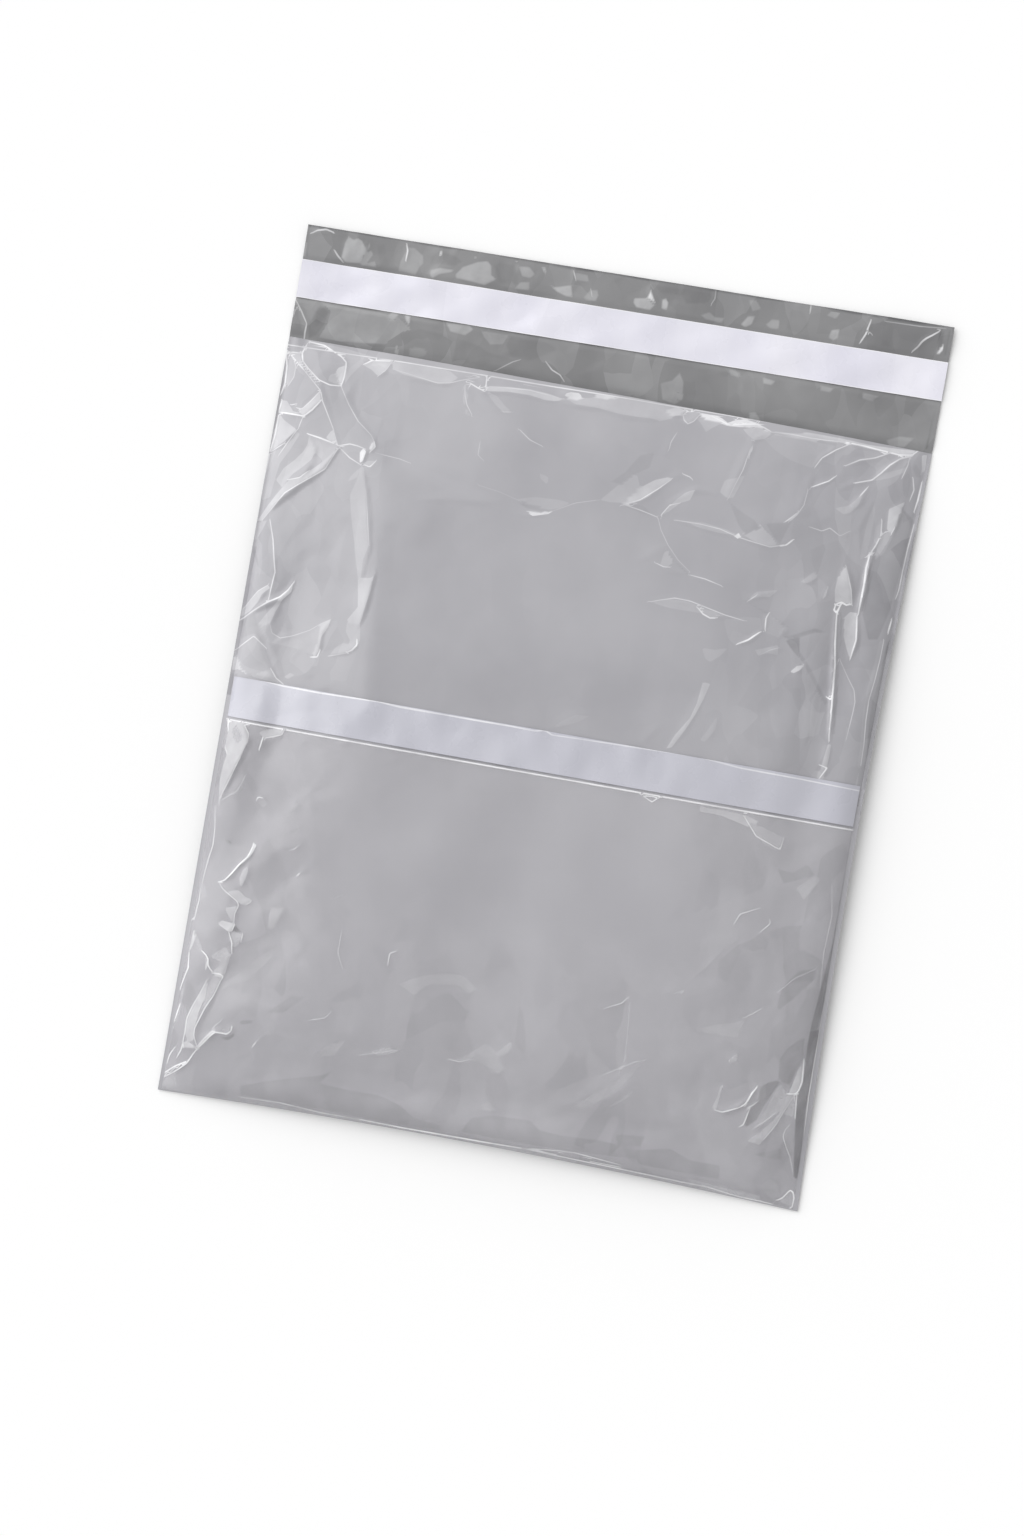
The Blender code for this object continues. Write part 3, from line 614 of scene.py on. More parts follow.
POCKET_LEFT_LINES = (
    (0.8, (228, 714), (228, 730)),
    (0.7, (225, 747), (227, 754)),
    (0.6, (241, 757), (230, 778), (220, 798)),
    (0.5, (241, 717), (249, 734), (248, 742)),
    (0.7, (263, 738), (261, 745), (259, 750)),
    (0.4, (266, 738), (282, 735), (286, 727)),
    (0.35, (220, 801), (228, 796), (237, 791), (242, 783), (245, 776)),
    (0.5, (257, 800), (258, 797), (263, 798)),
    (0.35, (291, 850), (295, 849), (298, 846)),
    (0.6, (297, 876), (300, 873)),
    (0.5, (215, 807), (215, 828), (213, 845), (208, 860), (204, 875), (201, 888)),
    (0.4, (220, 778), (219, 805)),
    (0.85, (219, 882), (225, 880), (232, 873), (240, 864), (248, 857), (251, 851), (254, 844)),
    (0.6, (200, 890), (199, 900), (197, 907), (195, 916), (194, 920)),
    (0.75, (195, 917), (191, 920), (187, 932), (184, 947), (182, 962), (181, 970)),
    (0.8, (189, 953), (188, 968), (185, 975), (182, 983), (180, 989)),
    (0.8, (180, 1004), (175, 1019)),
    (0.8, (173, 1027), (172, 1025), (174, 1019)),
    (0.8, (202, 951), (206, 955), (208, 959), (208, 965), (210, 969), (213, 972)),
    (0.4, (219, 882), (223, 889), (230, 895), (237, 901), (239, 905), (235, 914), (234, 924)),
    (0.4, (252, 900), (250, 903), (245, 905)),
    (0.6, (235, 924), (232, 931)),
    (0.4, (243, 934), (241, 942)),
    (0.6, (229, 932), (232, 942), (232, 953)),
    (0.7, (213, 973), (220, 974), (223, 976), (222, 979)),
    (0.5, (207, 980), (200, 993), (192, 1007), (187, 1018), (185, 1032), (183, 1041), (184, 1047)),
    (0.5, (221, 980), (214, 995), (205, 1008), (199, 1020), (195, 1028), (194, 1035), (196, 1043),
     (198, 1048)),
    (0.95, (198, 1048), (203, 1043), (210, 1036), (215, 1032), (222, 1033), (227, 1034), (231, 1031),
     (232, 1027)),
    (0.45, (212, 1029), (217, 1024), (222, 1020)),
    (0.8, (160, 1076), (167, 1071), (175, 1066), (187, 1061)),
    (0.7, (161, 1078), (172, 1073), (180, 1068), (187, 1063), (193, 1054), (197, 1049)),
    (0.7, (166, 1065), (170, 1054), (175, 1047)),
    (0.9, (166, 1047), (168, 1047)),
    (0.6, (177, 1057), (181, 1050), (183, 1042)),
    (0.3, (174, 1075), (177, 1084)),
    (0.6, (252, 1047), (256, 1042)),
)
POCKET_RIGHT_LINES = (
    (0.55, (640, 794), (652, 802), (658, 798), (664, 796)),
    (0.5, (744, 816), (756, 836), (780, 850), (784, 838)),
    (0.45, (734, 924), (740, 914), (760, 908)),
    (0.4, (760, 932), (770, 924), (770, 920)),
    (0.3, (832, 886), (832, 916), (824, 952), (820, 988)),
    (0.25, (778, 992), (795, 978), (816, 969)),
    (0.35, (744, 1018), (752, 1014), (761, 1009)),
    (0.3, (673, 994), (683, 991), (680, 996)),
    (0.6, (715, 1110), (722, 1112), (730, 1110), (740, 1107)),
    (1, (740, 1107), (745, 1104), (748, 1100), (752, 1093), (757, 1087)),
    (0.5, (747, 1108), (753, 1105), (757, 1102)),
    (0.6, (740, 1126), (743, 1125), (746, 1118), (749, 1110)),
    (0.35, (754, 1128), (765, 1121), (777, 1112)),
    (0.35, (794, 1096), (783, 1113), (775, 1126), (763, 1140)),
    (0.95, (788, 1094), (796, 1094), (799, 1090), (802, 1082), (803, 1072), (804, 1060)),
    (0.6, (797, 1094), (796, 1105), (795, 1118)),
    (0.35, (790, 1125), (785, 1130), (783, 1137), (786, 1147), (790, 1157), (793, 1173)),
    (0.8, (777, 1200), (782, 1198), (786, 1194), (790, 1190), (793, 1192), (794, 1198), (792, 1207),
     (790, 1208)),
    (0.7, (690, 1184), (707, 1187), (723, 1192), (740, 1197), (760, 1201), (772, 1204)),
    (0.6, (829, 985), (823, 1012), (818, 1042), (814, 1066), (809, 1095), (806, 1120), (803, 1150),
     (800, 1185)),
)
POCKET_LOWER_LINES = (
    (0.5, (388, 964), (390, 953), (397, 951)),
    (0.2, (342, 930), (338, 952), (343, 970)),
    (0.2, (333, 899), (345, 894)),
    (0.15, (630, 1001), (627, 1040), (625, 1059), (611, 1093)),
    (0.5, (240, 1097), (280, 1103), (320, 1113), (360, 1120)),
    (1, (360, 1120), (400, 1128), (440, 1135), (480, 1142), (523, 1149)),
    (0.6, (523, 1149), (560, 1157), (623, 1170), (690, 1184)),
    (0.5, (520, 1148), (560, 1151), (575, 1153), (620, 1165)),
    (0.3, (310, 1020), (325, 1018), (331, 1012)),
    (0.3, (360, 1055), (385, 1052), (398, 1050)),
    (0.4, (448, 1059), (460, 1062), (470, 1059)),
    (0.25, (603, 1075), (620, 1068), (635, 1062), (645, 1060)),
    (0.4, (605, 1008), (622, 1003), (628, 997)),
)
POCKET_LEFT_FACETS = (
    (0.22, (227, 712), (241, 717), (249, 735), (248, 742), (241, 757), (232, 777), (223, 793), (219, 803),
     (219, 793), (220, 778), (223, 765), (227, 753), (225, 747), (228, 730), (228, 718)),
    (0.08, (235, 723), (243, 737), (240, 742), (236, 742), (233, 733)),
    (0.22, (259, 733), (265, 730), (274, 729), (282, 726), (285, 725), (286, 728), (282, 735), (273, 738),
     (266, 738), (263, 741), (261, 747), (259, 750), (261, 743), (263, 737)),
    (0.08, (219, 800), (225, 796), (235, 792), (240, 788), (244, 780), (246, 776), (243, 790), (238, 795),
     (230, 796), (224, 801)),
    (0.07, (257, 800), (258, 797), (263, 798), (267, 802), (265, 807), (261, 806)),
    (0.05, (285, 816), (292, 807), (297, 801), (298, 805), (293, 814), (288, 817)),
    (0.08, (290, 831), (295, 829), (300, 826), (300, 832), (295, 833)),
    (0.35, (248, 857), (252, 848), (254, 843), (257, 845), (254, 851), (250, 857), (245, 862), (240, 865)),
    (0.18, (240, 886), (240, 877), (243, 870), (248, 865), (248, 872), (246, 879), (242, 886)),
    (-0.08, (222, 838), (230, 840), (233, 844), (239, 846), (230, 845)),
    (0.08, (203, 882), (204, 888), (207, 895), (202, 900), (200, 898)),
    (0.35, (195, 928), (194, 942), (190, 951), (188, 953), (191, 942), (193, 932)),
    (0.12, (185, 977), (184, 990), (182, 1000), (180, 1012), (177, 1022), (175, 1027), (177, 1013),
     (180, 1002), (182, 990)),
    (0.1, (195, 930), (200, 942), (203, 952), (200, 952), (197, 946), (195, 937)),
    (0.4, (205, 956), (207, 958), (208, 965), (205, 972), (206, 963)),
    (0.18, (226, 892), (238, 890), (241, 892), (246, 897), (252, 900), (250, 903), (243, 905), (238, 902),
     (232, 897)),
    (0.16, (225, 908), (230, 907), (238, 906), (236, 913), (234, 924), (232, 921), (229, 916)),
    (0.32, (218, 924), (222, 920), (235, 924), (232, 931), (228, 931)),
    (-0.15, (235, 924), (243, 933), (235, 932), (232, 931)),
    (0.12, (231, 932), (242, 934), (241, 941), (237, 946), (233, 947)),
    (0.15, (210, 957), (222, 949), (227, 947), (229, 953), (232, 954), (228, 965), (223, 980), (220, 978),
     (212, 972), (218, 967), (221, 962)),
    (0.3, (214, 972), (220, 973), (223, 976), (222, 979), (218, 977), (213, 974)),
    (0.25, (207, 981), (208, 985), (205, 998), (199, 1012), (195, 1028), (194, 1040), (188, 1042),
     (185, 1033), (188, 1018), (193, 1007), (200, 993)),
    (0.08, (212, 975), (221, 980), (213, 996), (205, 1009), (204, 1003), (208, 990)),
    (0.3, (184, 1047), (183, 1042), (187, 1041), (192, 1044), (197, 1047), (196, 1048), (190, 1048)),
    (0.35, (197, 1047), (200, 1042), (205, 1037), (212, 1030), (217, 1031), (222, 1032), (217, 1032),
     (212, 1035), (207, 1041), (202, 1046)),
    (-0.14, (220, 1037), (227, 1037), (233, 1033), (237, 1028), (234, 1037), (228, 1041), (222, 1039)),
    (-0.08, (238, 1022), (243, 1020), (257, 1020), (250, 1024), (242, 1025)),
    (0.07, (167, 1077), (173, 1075), (177, 1087), (168, 1088), (161, 1084)),
    (-0.08, (211, 1052), (207, 1063), (197, 1070), (205, 1062)),
    (0.08, (250, 1047), (255, 1043), (262, 1034), (258, 1042)),
    (0.07, (270, 928), (272, 920), (283, 910), (276, 925)),
)
POCKET_RIGHT_FACETS = (
    (0.15, (700, 806), (745, 815), (760, 822), (748, 827), (720, 815), (700, 812)),
    (0.10, (748, 822), (764, 828), (784, 838), (779, 849), (765, 845), (755, 834)),
    (-0.05, (776, 868), (792, 872), (808, 864), (816, 876), (784, 884)),
    (0.10, (796, 888), (816, 876), (820, 880), (804, 900)),
    (0.07, (800, 980), (820, 968), (816, 988), (800, 992)),
    (-0.05, (777, 1004), (782, 987), (799, 970), (816, 969), (814, 980), (795, 998), (778, 1011)),
    (0.06, (696, 1018), (703, 1028), (717, 1025), (744, 1021), (737, 1038), (703, 1032)),
    (-0.05, (751, 1154), (782, 1148), (782, 1161), (765, 1158)),
    (-0.08, (779, 1060), (787, 1048), (800, 1039), (805, 1038), (803, 1060), (797, 1072), (790, 1085),
     (783, 1083), (778, 1078)),
    (0.12, (712, 1108), (716, 1110), (719, 1100), (722, 1088), (725, 1086), (724, 1084), (720, 1087),
     (717, 1097)),
    (-0.12, (760, 1087), (768, 1082), (778, 1080), (780, 1083), (772, 1095), (763, 1108), (757, 1120),
     (745, 1128), (745, 1120), (750, 1108), (758, 1100)),
    (0.1, (781, 1084), (777, 1087), (772, 1097), (768, 1105), (763, 1115), (760, 1121), (754, 1128),
     (760, 1127), (768, 1120), (777, 1113), (781, 1112), (787, 1094)),
    (0.14, (788, 1095), (794, 1095), (790, 1102), (783, 1113), (777, 1123), (770, 1133), (763, 1139),
     (760, 1145), (747, 1141), (752, 1137), (760, 1132), (770, 1123), (780, 1113)),
    (0.25, (788, 1094), (790, 1091), (797, 1073), (800, 1066), (804, 1062), (803, 1073), (801, 1082),
     (798, 1091), (796, 1094)),
    (0.12, (790, 1102), (797, 1096), (796, 1105), (794, 1117), (784, 1115)),
    (0.05, (790, 1125), (785, 1130), (783, 1137), (786, 1147), (791, 1160), (794, 1150), (795, 1130)),
    (0.1, (777, 1200), (786, 1194), (790, 1190), (794, 1198), (792, 1207)),
    (0.05, (760, 1187), (769, 1179), (777, 1182), (780, 1195), (773, 1200)),
    (0.12, (727, 1062), (734, 1055), (738, 1053), (737, 1061), (732, 1063)),
    (-0.20, (810, 1030), (821, 1030), (819, 1040), (816, 1055), (813, 1073), (810, 1092), (806, 1110),
     (804, 1130), (802, 1155), (801, 1172), (798, 1180), (793, 1177), (794, 1147), (795, 1123),
     (797, 1097), (802, 1085), (805, 1063), (807, 1047)),
    (-0.17, (863, 790), (869, 790), (862, 840), (852, 890), (842, 945), (830, 990), (818, 1030),
     (810, 1030), (820, 990), (832, 945), (842, 890), (852, 840)),
)
POCKET_LOWER_FACETS = (
    (0.06, (399, 984), (421, 976), (446, 973), (464, 976), (477, 988), (469, 994), (457, 984),
     (428, 984), (414, 995)),
    (0.10, (370, 1052), (388, 1047), (399, 1052), (378, 1056)),
    (-0.04, (266, 1013), (291, 995), (306, 997), (284, 1013)),
    (0.08, (271, 908), (284, 908), (273, 930), (268, 926)),
    (0.05, (212, 991), (248, 980), (270, 959), (273, 948), (248, 966), (223, 984)),
    (-0.05, (615, 1134), (645, 1136), (642, 1146), (618, 1148)),
    (-0.06, (649, 1151), (669, 1149), (686, 1165), (659, 1165)),
    (0.05, (574, 1107), (594, 1096), (628, 1073), (642, 1061), (645, 1062), (611, 1096), (580, 1110)),
    (-0.05, (240, 1085), (280, 1079), (320, 1075), (335, 1070), (320, 1083), (350, 1090), (380, 1095),
     (400, 1105), (415, 1118), (440, 1125), (445, 1132), (380, 1122), (320, 1110), (240, 1095)),
    (-0.05, (470, 1118), (490, 1115), (530, 1120), (540, 1130), (560, 1135), (600, 1140), (640, 1150),
     (640, 1160), (560, 1150), (500, 1140), (460, 1132)),
    (-0.05, (630, 1150), (670, 1148), (690, 1160), (720, 1165), (720, 1180), (640, 1165)),
    (0.07, (300, 1058), (320, 1055), (325, 1047), (345, 1040), (335, 1055)),
    (0.06, (450, 1060), (462, 1058), (480, 1047), (488, 1043), (495, 1052), (505, 1070), (498, 1073),
     (480, 1062), (462, 1063)),
    (0.08, (495, 1055), (505, 1045), (513, 1041), (510, 1050), (500, 1056)),
    (0.08, (480, 1110), (485, 1103), (488, 1100), (497, 1112)),
    (0.12, (570, 1107), (590, 1100), (600, 1088), (605, 1083), (590, 1097)),
    (0.08, (603, 1110), (620, 1100), (640, 1085), (625, 1100)),
    (0.12, (690, 1179), (725, 1188), (760, 1196), (760, 1201), (723, 1193), (690, 1184)),
)
FLAP_LINES = (
    (0.95, (312, 234), (318, 231), (327, 230), (334, 233)),
    (0.9, (335, 251), (338, 256), (343, 262)),
    (0.95, (407, 245), (408, 251), (406, 261)),
    (0.5, (574, 272), (576, 280)),
    (0.6, (591, 290), (592, 296)),
    (0.7, (296, 300), (302, 312), (307, 324)),
    (0.8, (307, 324), (305, 333), (304, 340)),
    (0.6, (291, 312), (296, 309), (293, 317)),
    (0.5, (716, 291), (715, 299), (711, 305)),
    (0.7, (811, 306), (810, 313)),
    (0.9, (871, 321), (868, 328), (866, 334), (860, 343)),
    (0.4, (868, 331), (872, 335)),
    (0.95, (912, 352), (918, 347), (922, 342), (926, 339), (932, 336), (939, 332)),
    (0.4, (885, 322), (920, 327), (945, 329)),
    (0.4, (495, 371), (505, 366), (513, 362), (520, 360)),
    (0.6, (546, 362), (552, 370), (560, 375), (564, 381)),
)
FLAP_FACETS = (
    (0.15, (308, 226), (304, 245), (301, 257), (306, 258), (309, 240), (310, 228)),
    (-0.8, (310, 228), (308, 242), (306, 258), (308, 258), (310, 243), (312, 229)),
    (0.25, (341, 258), (345, 243), (349, 236), (354, 240), (358, 238), (363, 241), (368, 252), (361, 264),
     (345, 263)),
    (0.18, (360, 265), (366, 250), (370, 241), (371, 247), (368, 252), (372, 250), (374, 255), (368, 263),
     (375, 261), (378, 268), (362, 266)),
    (-0.1, (376, 245), (385, 243), (388, 258), (392, 269), (380, 268), (378, 258)),
    (0.12, (400, 262), (408, 247), (415, 248), (424, 256), (424, 264), (420, 268), (416, 276), (402, 272),
     (398, 272)),
    (0.22, (430, 277), (430, 270), (440, 268), (455, 270), (452, 273), (440, 275), (433, 279)),
    (0.22, (455, 275), (463, 267), (478, 262), (488, 261), (492, 266), (492, 275), (497, 280), (485, 286),
     (470, 282), (456, 279)),
    (-0.15, (430, 257), (440, 250), (455, 255), (465, 262), (455, 268), (440, 265), (430, 267)),
    (-0.12, (493, 266), (500, 262), (516, 265), (520, 280), (515, 288), (500, 285), (497, 279)),
    (0.18, (518, 266), (530, 267), (536, 275), (530, 279), (522, 277)),
    (0.14, (514, 289), (520, 282), (530, 282), (530, 291), (518, 290)),
    (0.3, (541, 267), (546, 267), (547, 272), (545, 276)),
    (0.25, (549, 285), (556, 287), (572, 285), (573, 298), (566, 297), (556, 292)),
    (0.12, (574, 272), (588, 275), (590, 283), (576, 281)),
    (0.15, (583, 298), (590, 290), (598, 290), (599, 296), (596, 302), (586, 301)),
    (0.5, (421, 243), (430, 243), (428, 247)),
    (0.8, (440, 251), (443, 251), (442, 256), (440, 255)),
    (0.7, (474, 257), (477, 257), (477, 259), (474, 259)),
    (0.8, (514, 260), (518, 262), (516, 263)),
    (-0.25, (296, 299), (307, 323), (305, 337), (290, 337), (289, 328), (292, 312)),
    (-0.3, (307, 326), (315, 312), (320, 303), (330, 312), (326, 325), (317, 336), (308, 340)),
    (0.12, (320, 302), (380, 312), (400, 318), (412, 330), (400, 340), (385, 345), (340, 342), (318, 338),
     (326, 325), (330, 312)),
    (0.2, (386, 318), (392, 311), (400, 314), (394, 322)),
    (0.35, (404, 314), (411, 316), (410, 327), (406, 322)),
    (0.22, (445, 322), (470, 325), (474, 330), (465, 336), (450, 332)),
    (0.1, (480, 330), (510, 335), (503, 345), (490, 345), (484, 338)),
    (-0.15, (510, 334), (545, 340), (560, 350), (530, 362), (510, 358), (505, 345)),
    (-0.12, (385, 345), (400, 333), (420, 328), (450, 335), (480, 345), (490, 352), (520, 360),
     (500, 372), (470, 365), (430, 358), (400, 352)),
    (0.3, (394, 352), (397, 345), (399, 352), (397, 358)),
    (0.08, (410, 348), (422, 347), (428, 352), (424, 357), (415, 358), (408, 356)),
    (0.75, (650, 285), (653, 295), (657, 306), (652, 302), (647, 298), (650, 292)),
    (0.28, (634, 298), (647, 298), (655, 306), (650, 311), (636, 308), (633, 303)),
    (0.35, (662, 300), (666, 298), (669, 303), (667, 311), (661, 309)),
    (-0.18, (652, 284), (690, 289), (712, 292), (714, 300), (705, 305), (685, 305), (682, 297),
     (660, 294)),
    (0.12, (700, 315), (710, 312), (715, 317), (725, 318), (722, 324), (705, 320)),
    (0.25, (740, 325), (748, 316), (756, 316), (752, 325), (745, 328)),
    (0.15, (765, 325), (772, 319), (780, 320), (779, 330), (770, 329)),
    (0.1, (748, 300), (757, 300), (762, 310), (752, 312)),
    (-0.12, (790, 308), (805, 312), (810, 325), (800, 335), (785, 330), (788, 318)),
    (0.15, (826, 316), (832, 310), (842, 312), (836, 320)),
    (0.25, (828, 338), (831, 330), (840, 329), (838, 339), (833, 341)),
    (-0.12, (880, 338), (888, 340), (893, 349), (880, 347)),
    (-0.5, (938, 333), (945, 330), (943, 345), (935, 355)),
    (0.85, (943, 343), (944, 350), (938, 356), (936, 354)),
    (-0.5, (948, 330), (951, 331), (948, 345), (946, 357), (943, 356), (946, 342)),
    (0.12, (660, 383), (672, 380), (680, 372), (684, 382), (683, 400), (675, 405), (662, 400)),
    (0.15, (676, 392), (684, 394), (683, 401), (677, 401)),
    (0.12, (728, 368), (740, 372), (742, 378), (730, 376)),
    (0.2, (762, 377), (776, 381), (772, 386), (763, 384)),
    (0.15, (820, 385), (835, 388), (830, 393), (820, 391)),
    (0.12, (862, 392), (880, 396), (872, 402), (862, 399)),
    (0.15, (748, 412), (756, 412), (762, 420), (750, 420)),
    (0.12, (885, 440), (900, 436), (915, 438), (905, 447), (890, 446)),
    (-0.6, (937, 403), (934, 420), (930, 440), (928, 450), (924, 449), (928, 436), (932, 416)),
)
LINER_LINES = (
    (0.8, (231, 671), (250, 677), (283, 686), (320, 693), (360, 699), (380, 702)),
    (1, (380, 702), (400, 707), (440, 714)),
    (0.8, (440, 714), (480, 721), (510, 726), (535, 731)),
    (1, (535, 731), (545, 730), (552, 735)),
    (0.7, (552, 735), (580, 739), (620, 745), (660, 751), (700, 757), (740, 768), (800, 779), (815, 782),
     (860, 791)),
)

# How a crease's height becomes relief, and how far its line and facets are kept.
RELIEF_SHARE = 0.5
RELIEF_STRONG = 0.7
STRONG_CREASE = 1.3
CREASE_REACH = 14 * MM
LINE_REACH = 3.0 * MM
LINE_LEAST = 0.25
LINE_PER_STRENGTH = 0.50

# A ray's first guess at the bag's height, and how often the guess is mended.
FIRST_HEIGHT = 15 * MM
HEIGHT_ROUNDS = 4

# Crumpling made by rule: its height, the size of a facet or a wave, and its random seed.
FINE_CRUMPLE = (0.22 * MM, 9 * MM, 12)
COARSE_CRUMPLE = (0.40 * MM, 19 * MM, 11)
FINE_WAVES = (0.04 * MM, 12 * MM, 14)
BROAD_WAVES = (0.22 * MM, 60 * MM, 13)
BACK_COARSE = (0.28 * MM, 24 * MM, 21)
BACK_FINE = (0.12 * MM, 11 * MM, 22)
FLAP_COARSE = (0.30 * MM, 16 * MM, 31)
FLAP_FINE = (0.14 * MM, 7 * MM, 32)
FLAP_WAVES = (0.35 * MM, 80 * MM, 33)
POCKET_CRUMPLE = (0.15 * MM, 13 * MM, 42)

# Where the front is crumpled: how far off the middle or the fold that starts, and over what breadth.
LEFT_RESTLESS = (75 * MM, 65 * MM)
RIGHT_RESTLESS = (60 * MM, 75 * MM)
BOTTOM_RESTLESS = (10 * MM, 75 * MM)
LEAST_RESTLESS = 0.15
POCKET_LOWER_HALF = 0.75

# What holds the film down beside its welds, bands, fold and mouth.
WELD_HOLD = 9 * MM
BAND_HOLD = 3 * MM
FOLD_HOLD = 25 * MM
BACK_SIDE_HOLD = 12 * MM
BACK_END_HOLD = 14 * MM
FLAP_MOUTH_HOLD = 5 * MM
MOUTH_CURL = 1.2 * MM
MOUTH_CURL_BREADTH = 9 * MM

# The flap's free end.
FLAP_FREE_AFTER = 30 * MM
CORNER_LIFT = 1.2 * MM
FLAP_RIM = 1.3 * MM


def ease(value):
    """Smooth step from 0 to 1."""
    share = np.clip(value, 0.0, 1.0)
    return share * share * (3 - 2 * share)


# The bag's plump form, as the solids have it but for lower broad folds.


def swell(distance):
    """0 at the bottom fold and at the mouth, 1 half way between."""
    return np.sin(math.pi * np.clip(distance / BODY_LENGTH, 0.0, 1.0))


def dome(across):
    """0 at the sides, 1 in the middle."""
    return 1 - (across / HALF_WIDTH) ** 2


def plan_point(across, distance):
    """Where a point of the flat film lies in plan once the fullness draws its edges in."""
    near_bottom = ease(1 - distance / BOTTOM_SLOPE)
    draw = np.where(across < 0, LEFT_DRAW, RIGHT_DRAW)
    x = across * (1 - draw / HALF_WIDTH * swell(distance))
    y = BOTTOM_EDGE + distance + BOTTOM_DRAW * dome(across) * near_bottom
    return x, y


def back_height(across, distance):
    """Underside of the back panel: flat where it lies, rising to the seams."""
    to_side = HALF_WIDTH - np.abs(across)
    side = SIDE_RISE * swell(distance) * ease(1 - to_side / SIDE_RISE_BREADTH)
    bottom = BOTTOM_RISE * dome(across) * ease(1 - distance / BOTTOM_RISE_BREADTH)
    return np.maximum(side, bottom)


def broad_folds(across, distance):
    """Rounded ridges and valleys along the lines of the broad folds."""
    total = np.zeros_like(across)
    for (x0, y0), (x1, y1), height, breadth in BROAD_FOLDS:
        ax, ay = x0 * HALF_WIDTH, y0 * BODY_LENGTH
        bx, by = x1 * HALF_WIDTH, y1 * BODY_LENGTH
        length_squared = (bx - ax) ** 2 + (by - ay) ** 2
        along = ((across - ax) * (bx - ax) + (distance - ay) * (by - ay)) / length_squared
        along = np.clip(along, 0.0, 1.0)
        away = np.hypot(across - ax - along * (bx - ax), distance - ay - along * (by - ay))
        total += height * MM * np.exp(-((away / (breadth * MM)) ** 2))
    return total


def to_weld(across, distance):
    """How far inside the side welds and the bottom fold a point lies."""
    return np.minimum(INSIDE_WELD - np.abs(across), distance)


def fullness(across, distance):
    """Space between the front and back films."""
    inside = 1 - np.minimum(np.abs(across) / INSIDE_WELD, 1.0) ** 4
    above_fold = np.maximum(distance, 0.0)
    rise = 1 - (1 - np.minimum(above_fold / BOTTOM_SLOPE, 1.0)) ** 3
    to_mouth = np.maximum((distance - BODY_LENGTH + MOUTH_SLOPE) / MOUTH_SLOPE, 0.0)
    body = FULLNESS * rise**0.8 * (1 - to_mouth**2)
    body = body + BOTTOM_ROUND * (1 - np.exp(-above_fold / BOTTOM_TURN)) * ease(1 - distance / BOTTOM_SLOPE)
    mouth = MOUTH_OPENING * to_mouth**2
    fade = ease(to_weld(across, distance) / FOLD_FADE)
    return (body + mouth) * inside**0.75 + BROAD_SHARE * broad_folds(across, distance) * fade


def front_height(across, distance):
    """Top of the front panel, without its relief."""
    return back_height(across, distance) + 2 * FILM + fullness(across, distance)


# Creases: paths of the photograph carried onto the bag, and the relief that they make.


@functools.lru_cache(None)
def photo_point(pixel):
    """Where the camera's ray through a pixel of the photograph meets the front of the bag."""
    ray = CAMERA_VIEW * FOCAL_PIXELS
    ray = ray + CAMERA_RIGHT * (pixel[0] - PHOTO_SIZE[0] / 2)
    ray = ray - CAMERA_TOP * (pixel[1] - PHOTO_SIZE[1] / 2)
    height = FIRST_HEIGHT
    for _ in range(HEIGHT_ROUNDS):
        point = CAMERA_PLACE + ray * ((height - CAMERA_PLACE.z) / ray.z)
        across = np.array(min(max(point.x, -HALF_WIDTH), HALF_WIDTH))
        distance = np.array(point.y - BOTTOM_EDGE)
        on_body = distance < BODY_LENGTH
        height = float(front_height(across, distance)) if on_body else FILM
    return point.x, point.y


def from_path(x, y, path):
    """Distance from a path, positive on its left, and the share of its length passed."""
    points = [photo_point(pixel) for pixel in path]
    lengths = [math.dist(a, b) for a, b in zip(points, points[1:])]
    nearest = np.full_like(x, 1.0)
    side = np.ones_like(x)
    along = np.zeros_like(x)
    passed = 0.0
    for (ax, ay), (bx, by), length in zip(points, points[1:], lengths):
        ux, uy = (bx - ax) / length, (by - ay) / length
        run = (x - ax) * ux + (y - ay) * uy
        held = np.clip(run, 0.0, length)
        away = np.hypot(x - ax - held * ux, y - ay - held * uy)
        left = ux * (y - ay) - uy * (x - ax)
        closer = away < nearest
        nearest = np.where(closer, away, nearest)
        side = np.where(closer, np.sign(left), side)
        along = np.where(closer, passed + held, along)
        passed += length
    return side * nearest, along / sum(lengths)


def crest(x, y, crease):
    """How high one crease stands over points."""
    path, height, lit, shaded = crease
    away, share = from_path(x, y, path)
    taper = np.sin(math.pi * (0.06 + 0.88 * share)) ** 0.7
    width = np.where(away > 0, lit, shaded) * MM * (0.15 + 0.85 * taper)
    ridge = np.maximum(1 - np.abs(away) / width, 0.0)
    rise = RELIEF_SHARE * height if abs(height) < STRONG_CREASE else RELIEF_STRONG * height
    return rise * MM * taper * ridge


